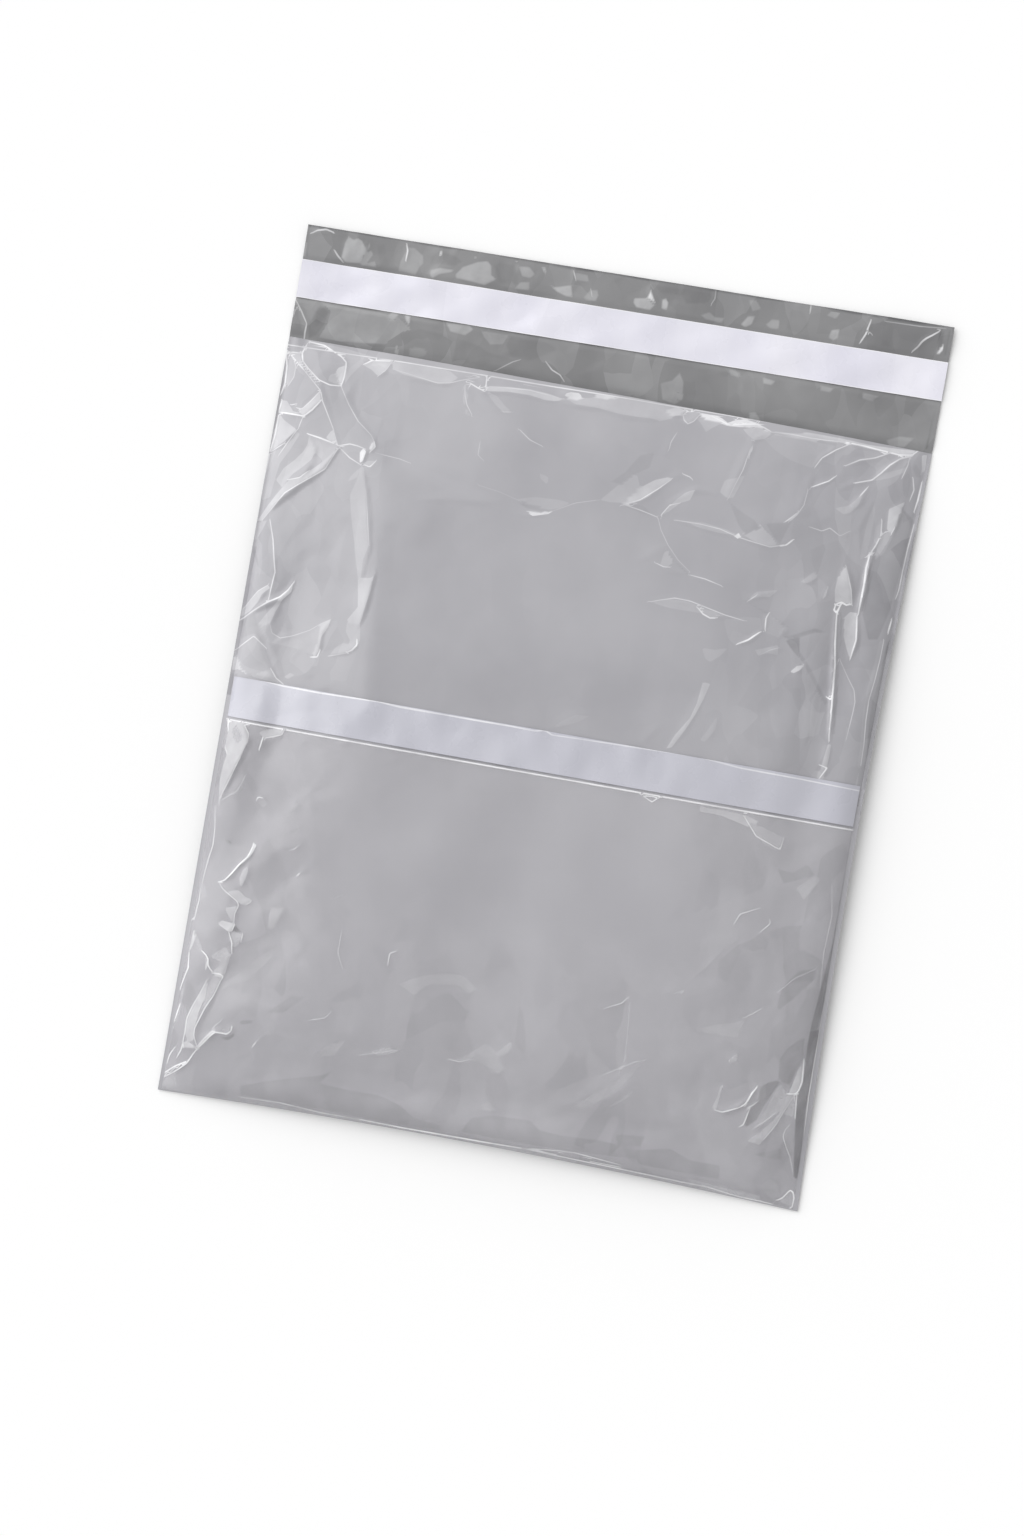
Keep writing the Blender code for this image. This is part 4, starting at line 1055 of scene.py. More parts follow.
class Marks:
    """What a film's material needs to know of its creases, point by point."""

    def __init__(self, x, y):
        self.x, self.y = x, y
        self.everywhere = np.ones(x.shape, bool)
        self.distance = np.full_like(x, LINE_REACH)
        self.strength = np.zeros_like(x)
        self.inside = np.full_like(x, -LINE_REACH)
        self.tone = np.zeros_like(x)
        self.crumpled = np.ones_like(x)

    def add_line(self, near, away, strength):
        """Each point keeps the line that is nearest to it."""
        closer = np.abs(away) < np.abs(self.distance[near])
        self.distance[near] = np.where(closer, away, self.distance[near])
        self.strength[near] = np.where(closer, strength, self.strength[near])

    def add_facet(self, near, inside, tone):
        """A facet lies over those added before it."""
        over = (inside > 0) | (inside > self.inside[near])
        self.inside[near] = np.where(over, inside, self.inside[near])
        self.tone[near] = np.where(over, tone, self.tone[near])

    def trace(self, lines, facets):
        """Adds groups of crease lines and of facets that were traced on the photograph."""
        for strength, *path in [line for group in lines for line in group]:
            _, near = around(self.x, self.y, path, LINE_REACH)
            if near.any():
                away, share = from_path(self.x[near], self.y[near], path)
                taper = 0.55 + 0.45 * np.sin(math.pi * (0.1 + 0.8 * share))
                self.add_line(near, away, strength * taper)
        # Facet tones are painted light, or painted shade where negative.
        for tone, *corners in [facet for group in facets for facet in group]:
            points, near = around(self.x, self.y, corners, LINE_REACH)
            if near.any():
                self.add_facet(near, within(self.x[near], self.y[near], points), tone)


def around(x, y, path, reach):
    """The path on the bag, and the points that lie within reach of it."""
    points = np.array([photo_point(pixel) for pixel in path])
    low, high = points.min(0) - reach, points.max(0) + reach
    return points, (x > low[0]) & (x < high[0]) & (y > low[1]) & (y < high[1])


def creases(x, y, groups):
    """Relief of groups of creases."""
    relief = np.zeros_like(x)
    for crease in [crease for group in groups for crease in group]:
        _, near = around(x, y, crease[0], CREASE_REACH)
        if near.any():
            relief[near] += crest(x[near], y[near], crease)
    return relief


def within(x, y, corners):
    """Distance from a polygon's border, positive inside it."""
    nearest = np.full_like(x, 1.0)
    crossings = np.zeros(x.shape, bool)
    for (ax, ay), (bx, by) in zip(corners, np.roll(corners, -1, axis=0)):
        length_squared = (bx - ax) ** 2 + (by - ay) ** 2
        along = np.clip(((x - ax) * (bx - ax) + (y - ay) * (by - ay)) / length_squared, 0, 1)
        nearest = np.minimum(nearest, np.hypot(x - ax - along * (bx - ax), y - ay - along * (by - ay)))
        if ay != by:
            crossings ^= ((ay > y) != (by > y)) & (x < (bx - ax) * (y - ay) / (by - ay) + ax)
    return np.where(crossings, nearest, -nearest)


def crumple(x, y, cell, seed):
    """Flat facets between random points about a cell apart, from -1 to 1, as crumpled film has."""
    random = np.random.RandomState(seed)
    across = np.arange(-HALF_WIDTH - 4 * cell, HALF_WIDTH + 4 * cell, cell)
    along = np.arange(-BAG_LENGTH / 2 - 4 * cell, BAG_LENGTH / 2 + 4 * cell, cell)
    px, py = (part.ravel() for part in np.meshgrid(across, along))
    px = px + random.uniform(-0.45, 0.45, px.size) * cell
    py = py + random.uniform(-0.45, 0.45, py.size) * cell
    heights = random.uniform(-1.0, 1.0, px.size)
    beside = (px > x.min() - 3 * cell) & (px < x.max() + 3 * cell)
    beside &= (py > y.min() - 3 * cell) & (py < y.max() + 3 * cell)
    px, py, heights = px[beside], py[beside], heights[beside]
    corners = [Vector((a, b)) for a, b in zip(px, py)]
    made = geometry.delaunay_2d_cdt(corners, [], [], 0, 1e-7)
    out_points, triangles, originals = made[0], made[2], made[3]
    at = np.array([tuple(point) for point in out_points])
    level = np.array([heights[source[0]] for source in originals])
    order = np.argsort(x)
    sorted_x = x[order]
    result = np.zeros_like(x)
    for a, b, c in triangles:
        pa, pb, pc = at[a], at[b], at[c]
        start = np.searchsorted(sorted_x, min(pa[0], pb[0], pc[0]))
        end = np.searchsorted(sorted_x, max(pa[0], pb[0], pc[0]))
        some = order[start:end]
        some = some[(y[some] >= min(pa[1], pb[1], pc[1])) & (y[some] <= max(pa[1], pb[1], pc[1]))]
        area = (pb[0] - pa[0]) * (pc[1] - pa[1]) - (pc[0] - pa[0]) * (pb[1] - pa[1])
        sx, sy = x[some] - pa[0], y[some] - pa[1]
        v = (sx * (pc[1] - pa[1]) - (pc[0] - pa[0]) * sy) / area
        w = ((pb[0] - pa[0]) * sy - sx * (pb[1] - pa[1])) / area
        held = (v >= -1e-6) & (w >= -1e-6) & (v + w <= 1 + 1e-6)
        some, v, w = some[held], v[held], w[held]
        result[some] = level[a] + v * (level[b] - level[a]) + w * (level[c] - level[a])
    return result


def waves(x, y, length, seed, count=7):
    """Smooth undulation of about a wave length, from about -1 to 1."""
    random = np.random.RandomState(seed)
    total = np.zeros_like(x)
    for _ in range(count):
        angle = random.uniform(0, 2 * math.pi)
        wave = 2 * math.pi / (length * random.uniform(0.7, 1.5))
        phase = random.uniform(0, 2 * math.pi)
        total += np.sin(wave * (x * math.cos(angle) + y * math.sin(angle)) + phase)
    return total / math.sqrt(count)


def restless(across, distance):
    """How crumpled the front is: little in the taut middle, 1 along the sides and the bottom."""
    left = ease((-across - LEFT_RESTLESS[0]) / LEFT_RESTLESS[1])
    right = ease((across - RIGHT_RESTLESS[0]) / RIGHT_RESTLESS[1])
    bottom = ease(1 - (distance - BOTTOM_RESTLESS[0]) / BOTTOM_RESTLESS[1])
    return np.clip(left + right + 0.8 * bottom, LEAST_RESTLESS, 1.0)


def layer(make, x, y, sizes):
    """Crumple or waves at their height."""
    height, size, seed = sizes
    return height * make(x, y, size, seed)


def raised_crumple(x, y, sizes):
    """Crumple that only rises from the surface."""
    return sizes[0] + layer(crumple, x, y, sizes)


def clear_of_band(distance, low, high):
    """0 where a liner is stuck down, which holds the film flat, and 1 away from it."""
    below = ease((low[1] - BOTTOM_EDGE - distance) / BAND_HOLD)
    above = ease((distance - high[1] + BOTTOM_EDGE) / BAND_HOLD)
    return below + above


def front_relief(across, distance, groups):
    """All that lies on the front's plump form."""
    x, y = plan_point(across, distance)
    mask = restless(across, distance)
    hold = ease(to_weld(across, distance) / WELD_HOLD)
    relief = creases(x, y, groups)
    relief += mask * layer(crumple, x, y, FINE_CRUMPLE)
    relief += mask * layer(waves, x, y, FINE_WAVES)
    relief *= clear_of_band(distance, POCKET_LINER_LOW, POCKET_LINER_HIGH)
    relief += mask * layer(crumple, x, y, COARSE_CRUMPLE)
    relief += layer(waves, x, y, BROAD_WAVES)
    dip = ease((distance - BODY_LENGTH + MOUTH_CURL_BREADTH) / MOUTH_CURL_BREADTH)
    curl = MOUTH_CURL * dip * (1 + 0.35 * waves(x, y, 70 * MM, 15))
    return (relief - curl) * hold


# Meshes: a primitive grid is given its lines, laid on a surface and thickened.


def graded(*stretches):
    """Grid lines over stretches, each (start, end, spacing) in metres."""
    lines = [stretches[0][0]]
    for start, end, spacing in stretches:
        steps = max(1, round(abs(end - start) / spacing))
        lines += list(np.linspace(start, end, steps + 1)[1:])
    return np.array(lines)


def keep_values(piece, name, values):
    """Keeps a value at each point of a mesh, for its material."""
    attribute = piece.data.attributes.new(name, "FLOAT", "POINT")
    attribute.data.foreach_set("value", values.astype(np.float32))


def add_grid(name, columns, rows, place):
    """A grid with these lines, each point put where place(columns, rows) says."""
    bpy.ops.object.select_all(action="DESELECT")
    bpy.ops.mesh.primitive_grid_add(
        x_subdivisions=len(columns) - 1, y_subdivisions=len(rows) - 1, size=1
    )
    grid = bpy.context.object
    grid.name = name
    grid.data.name = name
    across, along = np.meshgrid(columns, rows)
    points, marks = place(across.ravel(), along.ravel())
    grid.data.vertices.foreach_set("co", np.column_stack(points).astype(np.float32).ravel())
    if marks:
        cell = np.hypot(*np.meshgrid(np.gradient(columns), np.gradient(rows))).ravel()
        keep_values(grid, "crease_distance", marks.distance / MM)
        keep_values(grid, "crease_cells", np.abs(marks.distance) / cell)
        keep_values(grid, "crease_strength", marks.strength)
        keep_values(grid, "facet_inside", marks.inside / MM)
        keep_values(grid, "painted_facet_tone", marks.tone)
        keep_values(grid, "crumpled", marks.crumpled)
    grid.data.update()
    return grid


def thicken(piece, thickness, offset=-1.0, inner_slot=0):
    """Gives a sheet its thickness as a closed solid. The far side may take the second material."""
    bpy.ops.object.select_all(action="DESELECT")
    piece.select_set(True)
    bpy.context.view_layer.objects.active = piece
    solid = piece.modifiers.new("thickness", "SOLIDIFY")
    solid.thickness = thickness
    solid.offset = offset
    solid.material_offset = inner_slot
    solid.use_rim = True
    bpy.ops.object.modifier_apply(modifier=solid.name)
    bpy.ops.object.shade_smooth_by_angle(angle=math.radians(50))


def finish_piece(piece, materials, slot, *nodes):
    """Gives a piece its materials and its body, and hides the nodes that it stands for; the slot is not
    used.
    """
    for material in materials:
        piece.data.materials.append(material)
    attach(piece, "root")
    if nodes:
        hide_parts(*nodes)


SPLIT_UNDER_LINER = (POCKET_LINER_LOW[1] + POCKET_LINER_HIGH[1]) / 2 - BOTTOM_EDGE
FOLD_ARC = FOLD_RADIUS * math.pi / 2
MOUTH_SKEW = 3.3 * MM
MOUTH_SKEW_BREADTH = 60 * MM
MOUTH_SHIFT = 0.8 * MM
BACK_TURN = 14 * MM
FLAP_START = BODY_LENGTH - 8 * MM

# Strengths of the painted highlight lines along edges, and tones that aren't traced: the band painted dark
# along the flap's free end, and how strongly faint patches of painted light and shade show.
LINE_INSET = 0.6 * MM
MOUTH_EDGE_HIGHLIGHT = 0.55
POCKET_LIP_HIGHLIGHT = 0.75
LINER_EDGE_HIGHLIGHT = 0.8
FLAP_RIM_TONE = -0.75
FLAP_CRUMPLED = 1.0
POCKET_CRUMPLED = 0.6

# Grid lines across each film, closest where it is crumpled.
LOWER_SPACING = 2.4 * MM
BACK_SPACING = 3.2 * MM
BETWEEN_WELDS = (
    (-INSIDE_WELD, -95 * MM, 1.0 * MM),
    (-95 * MM, 45 * MM, 2.0 * MM),
    (45 * MM, 100 * MM, 1.3 * MM),
    (100 * MM, INSIDE_WELD, 1.0 * MM),
)
FRONT_COLUMNS = graded(
    (-HALF_WIDTH, -INSIDE_WELD, 1.0 * MM),
    *BETWEEN_WELDS,
    (INSIDE_WELD, HALF_WIDTH, 1.0 * MM),
)
POCKET_COLUMNS = graded(*BETWEEN_WELDS)
LOWER_COLUMNS = graded((-HALF_WIDTH, HALF_WIDTH, LOWER_SPACING))
BACK_COLUMNS = graded((-HALF_WIDTH, HALF_WIDTH, BACK_SPACING))
FLAP_COLUMNS = graded((-HALF_WIDTH, HALF_WIDTH, 1.1 * MM))

UPPER_GROUPS = (UPPER_LEFT_CREASES, UPPER_RIGHT_CREASES, MIDDLE_CREASES, MOUTH_CREASES)
POCKET_GROUPS = (POCKET_LEFT_CREASES, POCKET_RIGHT_CREASES, POCKET_LOWER_CREASES)
UPPER_LINES = (UPPER_LEFT_LINES, UPPER_RIGHT_LINES, CENTRE_LINES, MOUTH_LINES)
UPPER_FACETS = (UPPER_LEFT_FACETS, UPPER_RIGHT_FACETS, CENTRE_FACETS, MOUTH_FACETS)
POCKET_LINES = (POCKET_LEFT_LINES, POCKET_RIGHT_LINES, POCKET_LOWER_LINES)
POCKET_FACETS = (POCKET_LEFT_FACETS, POCKET_RIGHT_FACETS, POCKET_LOWER_FACETS)


def place_front(across, distance):
    """The front panel above the pocket, whose mouth runs a little askew."""
    near_mouth = ease((distance - BODY_LENGTH + MOUTH_SKEW_BREADTH) / MOUTH_SKEW_BREADTH)
    distance = distance - MOUTH_SKEW * near_mouth * across / HALF_WIDTH + MOUTH_SHIFT * near_mouth
    x, y = plan_point(across, distance)
    marks = Marks(x, y)
    marks.trace(UPPER_LINES, UPPER_FACETS)
    # A highlight painted along the mouth's edge.
    marks.add_line(marks.everywhere, distance - BODY_LENGTH + LINE_INSET, MOUTH_EDGE_HIGHLIGHT)
    marks.crumpled = restless(across, distance)
    relief = front_relief(across, distance, UPPER_GROUPS)
    return (x, y, front_height(across, distance) + relief), marks


def fold_settle(distance):
    """Room that the rounded bottom fold needs between the films above it."""
    return (2 * FOLD_RADIUS - 2 * FILM) * ease(1 - distance / FOLD_HOLD)


def place_lower(across, run):
    """The film from the back panel round the bottom fold and up the front, by its run."""
    angle = np.clip(run / FOLD_RADIUS, -math.pi / 2, math.pi / 2)
    distance = np.maximum(np.abs(run) - FOLD_ARC, 0.0)
    inner = distance + FOLD_RADIUS * (1 - np.cos(angle))
    x, y = plan_point(across, inner)
    back = back_height(across, inner)
    relief = front_relief(across, distance, POCKET_GROUPS)
    front = back + 2 * FILM + fold_settle(distance) + fullness(across, distance) + relief
    turning = back + FOLD_RADIUS * (1 + np.sin(angle))
    z = np.where(np.abs(run) <= FOLD_ARC, turning, np.where(run > 0, front, back))
    return (x, y, z), None


def back_relief(across, distance):
    """Slight crumpling of the back panel, which only rises off the surface it lies on."""
    x, y = plan_point(across, distance)
    hold = ease((HALF_WIDTH - np.abs(across)) / BACK_SIDE_HOLD) * ease(distance / BACK_END_HOLD)
    return (raised_crumple(x, y, BACK_COARSE) + raised_crumple(x, y, BACK_FINE)) * hold


def place_back(across, distance):
    x, y = plan_point(across, distance)
    z = back_height(across, distance) + back_relief(across, distance) + FILM
    return (x, y, z), None


def flap_lift(across, distance):
    """How the flap rises off the surface: a little in waves, more at its free corners."""
    x, y = plan_point(across, distance)
    from_mouth = distance - BODY_LENGTH
    free = ease(from_mouth / FLAP_FREE_AFTER)
    corner = ease((np.abs(across) - 120 * MM) / (58 * MM))
    corner = corner * ease((from_mouth - 38 * MM) / (28 * MM))
    return CORNER_LIFT * corner + free * (FLAP_WAVES[0] + layer(waves, x, y, FLAP_WAVES))


def place_flap(across, distance):
    """The flap, folded back flat and crumpled except under its liner."""
    x, y = plan_point(across, distance)
    marks = Marks(x, y)
    marks.trace((FLAP_LINES,), (FLAP_FACETS,))
    marks.crumpled = np.full_like(x, FLAP_CRUMPLED)
    # A band painted dark along the flap's free end.
    rim = FLAP_RIM * (1 + 0.4 * waves(x, y, 45 * MM, 34))
    marks.add_facet(marks.everywhere, distance - BAG_LENGTH + rim, FLAP_RIM_TONE)
    relief = creases(x, y, (FLAP_CREASES,))
    relief += raised_crumple(x, y, FLAP_COARSE) + raised_crumple(x, y, FLAP_FINE)
    relief *= clear_of_band(distance, FLAP_LINER_LOW, FLAP_LINER_HIGH)
    mouth = BODY_LENGTH + MOUTH_SHIFT - MOUTH_SKEW * across / HALF_WIDTH
    relief *= ease((distance - mouth) / FLAP_MOUTH_HOLD)
    return (x, y, FILM + flap_lift(across, distance) + np.maximum(relief, 0.0)), marks


def place_pocket(across, distance):
    """The clear pocket: on the front at its welds and slack between them."""
    x, y = plan_point(across, distance)
    inside = 1 - np.clip(np.abs(across) / INSIDE_WELD, 0.0, 1.0) ** 2
    loose = 0.7 + 0.3 * waves(x, y, 55 * MM, 41)
    slack = POCKET_SLACK * inside * ease(distance / POCKET_LIP) * loose
    marks = Marks(x, y)
    marks.trace(POCKET_LINES, POCKET_FACETS)
    # A highlight painted along the pocket's lip.
    marks.add_line(marks.everywhere, distance - POCKET_LIP + LINE_INSET, POCKET_LIP_HIGHLIGHT)
    lower_half = POCKET_LOWER_HALF * ease((0.75 * POCKET_LIP - distance) / (70 * MM))
    uneasy = np.maximum(restless(across, distance), lower_half)
    marks.crumpled = POCKET_CRUMPLED * uneasy
    relief = front_relief(across, distance, POCKET_GROUPS)
    own = raised_crumple(x, y, POCKET_CRUMPLE) * uneasy
    hold = ease(to_weld(across, distance) / WELD_HOLD)
    z = front_height(across, distance) + fold_settle(distance) + relief + own * hold
    return (x, y, z + POCKET_FILM + RESTING_GAP + np.maximum(slack, 0.0)), marks


def place_band(on_flap, height, ripple, seed):
    """A band on the flap or on the front, at a height above the film, a little wavy."""

    def place(across, distance):
        x, y = plan_point(across, distance)
        wave = ripple * (1 + waves(x, y, 26 * MM, seed)) / 2
        marks = Marks(x, y)
        if on_flap:
            base = FILM + flap_lift(across, distance)
            # Highlights painted along the flap liner's two long edges.
            for edge in (distance.min(), distance.max()):
                marks.add_line(marks.everywhere, distance - edge, LINER_EDGE_HIGHLIGHT)
        else:
            base = front_height(across, distance) + front_relief(across, distance, ())
            marks.trace((LINER_LINES,), ())
        return (x, y, base + RESTING_GAP + height + np.maximum(wave, 0.0)), marks

    return place


# Materials. Each reads Object coordinates, and creased film also its own crease lines.
# A pair of colours is the range that a surface's colour varies over.

OUTSIDE_GREY = ((0.36, 0.355, 0.38), (0.42, 0.415, 0.44))
INSIDE_GREY = ((0.185, 0.185, 0.19), (0.27, 0.27, 0.275))
CLEAR_TINT = ((0.65, 0.64, 0.67), (0.73, 0.72, 0.75))
FLAP_LINER_WHITE = ((0.76, 0.75, 0.84), (0.86, 0.85, 0.92))
POCKET_LINER_WHITE = ((0.50, 0.50, 0.56), (0.58, 0.58, 0.64))
GLUE_YELLOW = ((0.66, 0.62, 0.48), (0.78, 0.74, 0.60))
# White of painted highlights, pale facets and stress whitening; the tint below is that of painted shade.
HIGHLIGHT_AND_WHITENING_WHITE = (0.95, 0.95, 0.97)
SHADED_TINT = (0.06, 0.06, 0.065)
LINER_SHADE = (0.35, 0.35, 0.42)
# How strongly faint random patches are painted paler or darker, as painted light and shade on crumpled
# facets.
FAINT_TONE = 0.12
LINER_FAINT_TONE = 0.10
CLEAR_COVER = 0.20
GRAIN_DEPTH = 0.2 * MM


def new_material(name):
    material = bpy.data.materials.new(name)
    material.use_nodes = True
    nodes, links = material.node_tree.nodes, material.node_tree.links
    return material, nodes, links, nodes["Principled BSDF"]


def noise(nodes, links, scale, detail=3.0, stretch=(1, 1, 1), turn=0.0):
    """Smooth noise over the piece, from about 0.3 to 0.7 for the most part."""
    coordinates = nodes.new("ShaderNodeTexCoord")
    mapping = nodes.new("ShaderNodeMapping")
    mapping.inputs["Scale"].default_value = stretch
    mapping.inputs["Rotation"].default_value = (0, 0, turn)
    texture = nodes.new("ShaderNodeTexNoise")
    texture.inputs["Scale"].default_value = scale
    texture.inputs["Detail"].default_value = detail
    links.new(coordinates.outputs["Object"], mapping.inputs["Vector"])
    links.new(mapping.outputs["Vector"], texture.inputs["Vector"])
    return texture.outputs["Fac"]


def ramp(nodes, links, source, low, high, start=0.3, end=0.7):
    """Maps a value onto a range of numbers or colours."""
    colours = nodes.new("ShaderNodeValToRGB")
    colours.color_ramp.elements[0].position = start
    colours.color_ramp.elements[1].position = end
    colours.color_ramp.elements[0].color = (*low, 1)
    colours.color_ramp.elements[1].color = (*high, 1)
    links.new(source, colours.inputs["Fac"])
    return colours.outputs["Color"]


def math_node(nodes, links, operation, first, second=None):
    """A sum, product or the like of numbers and other nodes' values."""
    node = nodes.new("ShaderNodeMath")
    node.operation = operation
    for socket, value in zip(node.inputs, (first, second)):
        if value is None:
            continue
        if isinstance(value, (int, float)):
            socket.default_value = value
        else:
            links.new(value, socket)
    return node.outputs[0]


def value_of(nodes, name):
    """A value that the piece keeps at each of its points."""
    attribute = nodes.new("ShaderNodeAttribute")
    attribute.attribute_name = name
    return attribute.outputs["Fac"]


def step(nodes, links, source, start, end, low=0.0, high=1.0):
    """Passes smoothly from one value to another as the source goes from start to end."""
    fade = nodes.new("ShaderNodeMapRange")
    fade.interpolation_type = "SMOOTHSTEP"
    fade.inputs["From Min"].default_value = start
    fade.inputs["From Max"].default_value = end
    fade.inputs["To Min"].default_value = low
    fade.inputs["To Max"].default_value = high
    links.new(source, fade.inputs["Value"])
    return fade.outputs["Result"]


def crease_whitening_and_highlight(nodes, links):
    """How white the film is painted along its crease lines and edge lines, partly stress whitening and
    partly painted highlight.
    """
    strength = value_of(nodes, "crease_strength")
    away = math_node(nodes, links, "ABSOLUTE", value_of(nodes, "crease_distance"))
    width = math_node(nodes, links, "MULTIPLY", strength, LINE_PER_STRENGTH)
    width = math_node(nodes, links, "ADD", width, LINE_LEAST)
    share = math_node(nodes, links, "DIVIDE", away, width)
    line = step(nodes, links, share, 0.3, 1.0, 1.0, 0.0)
    line = math_node(nodes, links, "MULTIPLY", line, strength)
    uneven = ramp(nodes, links, noise(nodes, links, 55.0), (0.55,) * 3, (1.0,) * 3, 0.35, 0.6)
    line = math_node(nodes, links, "MULTIPLY", line, uneven)
    beside = step(nodes, links, value_of(nodes, "crease_cells"), 0.5, 0.8, 1.0, 0.0)
    return math_node(nodes, links, "MULTIPLY", line, beside)


def faint_facets(nodes, links, scale, turn):
    """Irregular flat patches, from 0 to 1, such as crumpled film shows between its creases."""
    coordinates = nodes.new("ShaderNodeTexCoord")
    mapping = nodes.new("ShaderNodeMapping")
    mapping.inputs["Scale"].default_value = (1.0, 0.6, 1.0)
    mapping.inputs["Rotation"].default_value = (0, 0, turn)
    warp = nodes.new("ShaderNodeTexNoise")
    warp.inputs["Scale"].default_value = scale * 0.8
    warp.inputs["Detail"].default_value = 1.0
    shift = nodes.new("ShaderNodeVectorMath")
    shift.operation = "MULTIPLY_ADD"
    shift.inputs[1].default_value = (0.9 / scale,) * 3
    patches = nodes.new("ShaderNodeTexVoronoi")
    patches.voronoi_dimensions = "2D"
    patches.inputs["Scale"].default_value = scale
    links.new(coordinates.outputs["Object"], mapping.inputs["Vector"])
    links.new(mapping.outputs["Vector"], warp.inputs["Vector"])
    links.new(warp.outputs["Color"], shift.inputs[0])
    links.new(mapping.outputs["Vector"], shift.inputs[2])
    links.new(shift.outputs["Vector"], patches.inputs["Vector"])
    grey = nodes.new("ShaderNodeRGBToBW")
    links.new(patches.outputs["Color"], grey.inputs["Color"])
    return grey.outputs["Val"]


def painted_facet_light_and_shade(nodes, links, soft):
    """How much painted light pales the film and painted shade darkens it, on its traced facets and on faint
    random patches.
    """
    inside = value_of(nodes, "facet_inside")
    tone = value_of(nodes, "painted_facet_tone")
    uneven = ramp(nodes, links, noise(nodes, links, 90.0), (0.65,) * 3, (1.2,) * 3)
    tone = math_node(nodes, links, "MULTIPLY", tone, uneven)
    # Faint random patches painted paler and darker, as crumpled film's facets catch the light unevenly.
    patches = math_node(nodes, links, "ADD", faint_facets(nodes, links, 42.0, 0.5),
                        faint_facets(nodes, links, 85.0, -0.4))
    patches = math_node(nodes, links, "SUBTRACT", patches, 1.0)
    patches = math_node(nodes, links, "MULTIPLY", patches, value_of(nodes, "crumpled"))
    patches = math_node(nodes, links, "MULTIPLY", patches, FAINT_TONE)
    pale = math_node(nodes, links, "MAXIMUM", tone, 0.0)
    pale = math_node(nodes, links, "MULTIPLY", pale, step(nodes, links, inside, -0.3, soft))
    pale = math_node(nodes, links, "ADD", pale, math_node(nodes, links, "MAXIMUM", patches, 0.0))
    dark = math_node(nodes, links, "MAXIMUM", math_node(nodes, links, "MULTIPLY", tone, -1.0), 0.0)
    dark = math_node(nodes, links, "MULTIPLY", dark, step(nodes, links, inside, -0.3, soft + 0.6))
    less = math_node(nodes, links, "MULTIPLY", patches, -1.0)
    dark = math_node(nodes, links, "ADD", dark, math_node(nodes, links, "MAXIMUM", less, 0.0))
    return pale, dark


def tinted(nodes, links, colour, tint, amount):
    """Mixes a colour with a tint by an amount."""
    mix = nodes.new("ShaderNodeMix")
    mix.data_type = "RGBA"
    mix.inputs["B"].default_value = (*tint, 1)
    links.new(amount, mix.inputs["Factor"])
    links.new(colour, mix.inputs["A"])
    return mix.outputs["Result"]


def covered(nodes, links, cover, amount):
    """How much a see-through film covers once a share of it is made opaque."""
    rest = math_node(nodes, links, "SUBTRACT", 1.0, cover)
    return math_node(nodes, links, "ADD", cover, math_node(nodes, links, "MULTIPLY", rest, amount))


def grain(nodes, links, shader, scale, strength):
    """Fine unevenness of a film's surface."""
    bump = nodes.new("ShaderNodeBump")
    bump.inputs["Strength"].default_value = strength
    bump.inputs["Distance"].default_value = GRAIN_DEPTH
    links.new(noise(nodes, links, scale, 4.0), bump.inputs["Height"])
    links.new(bump.outputs["Normal"], shader.inputs["Normal"])


def film_material(name, greys, roughness, whiteness, soft):
    """Glossy co-extruded film: colour a little uneven, with painted light and painted shade on its facets,
    and white along its creases and edges, partly stress whitening and partly painted highlight.
    """
    material, nodes, links, shader = new_material(name)
    colour = ramp(nodes, links, noise(nodes, links, 16.0), *greys)
    pale, dark = painted_facet_light_and_shade(nodes, links, soft)
    line = math_node(nodes, links, "MULTIPLY", crease_whitening_and_highlight(nodes, links), whiteness)
    # Painted shade on dark facets, then painted light on pale facets and white along crease lines.
    colour = tinted(nodes, links, colour, SHADED_TINT, dark)
    colour = tinted(nodes, links, colour, HIGHLIGHT_AND_WHITENING_WHITE, math_node(nodes, links, "MAXIMUM", pale, line))
    links.new(colour, shader.inputs["Base Color"])
    rough = ramp(nodes, links, noise(nodes, links, 45.0), (roughness[0],) * 3, (roughness[1],) * 3)
    links.new(rough, shader.inputs["Roughness"])
    shader.inputs["Specular IOR Level"].default_value = 0.4
    shader.inputs["Coat Weight"].default_value = 0.22
    shader.inputs["Coat Roughness"].default_value = 0.15
    grain(nodes, links, shader, 150.0, 0.12)
    return material


def clear_material():
    """Clear film, made opaque where painted highlight or crease whitening lies on it, and where painted
    light or painted shade lies on its facets.
    """
    material, nodes, links, shader = new_material("clear_pocket_film")
    colour = ramp(nodes, links, noise(nodes, links, 20.0), *CLEAR_TINT)
    pale, dark = painted_facet_light_and_shade(nodes, links, 0.2)
    pale = math_node(nodes, links, "MAXIMUM", pale, crease_whitening_and_highlight(nodes, links))
    # Painted shade and painted light turn the clear film opaque where they lie.
    shaded = covered(nodes, links, CLEAR_COVER, dark)
    share = math_node(nodes, links, "DIVIDE", dark, shaded)
    colour = tinted(nodes, links, colour, SHADED_TINT, share)
    cover = covered(nodes, links, shaded, pale)
    share = math_node(nodes, links, "DIVIDE", pale, cover)
    links.new(tinted(nodes, links, colour, HIGHLIGHT_AND_WHITENING_WHITE, share), shader.inputs["Base Color"])
    links.new(cover, shader.inputs["Alpha"])
    rough = ramp(nodes, links, noise(nodes, links, 60.0), (0.28,) * 3, (0.36,) * 3)
    links.new(rough, shader.inputs["Roughness"])
    shader.inputs["Coat Weight"].default_value = 0.4
    shader.inputs["Coat Roughness"].default_value = 0.25
    return material


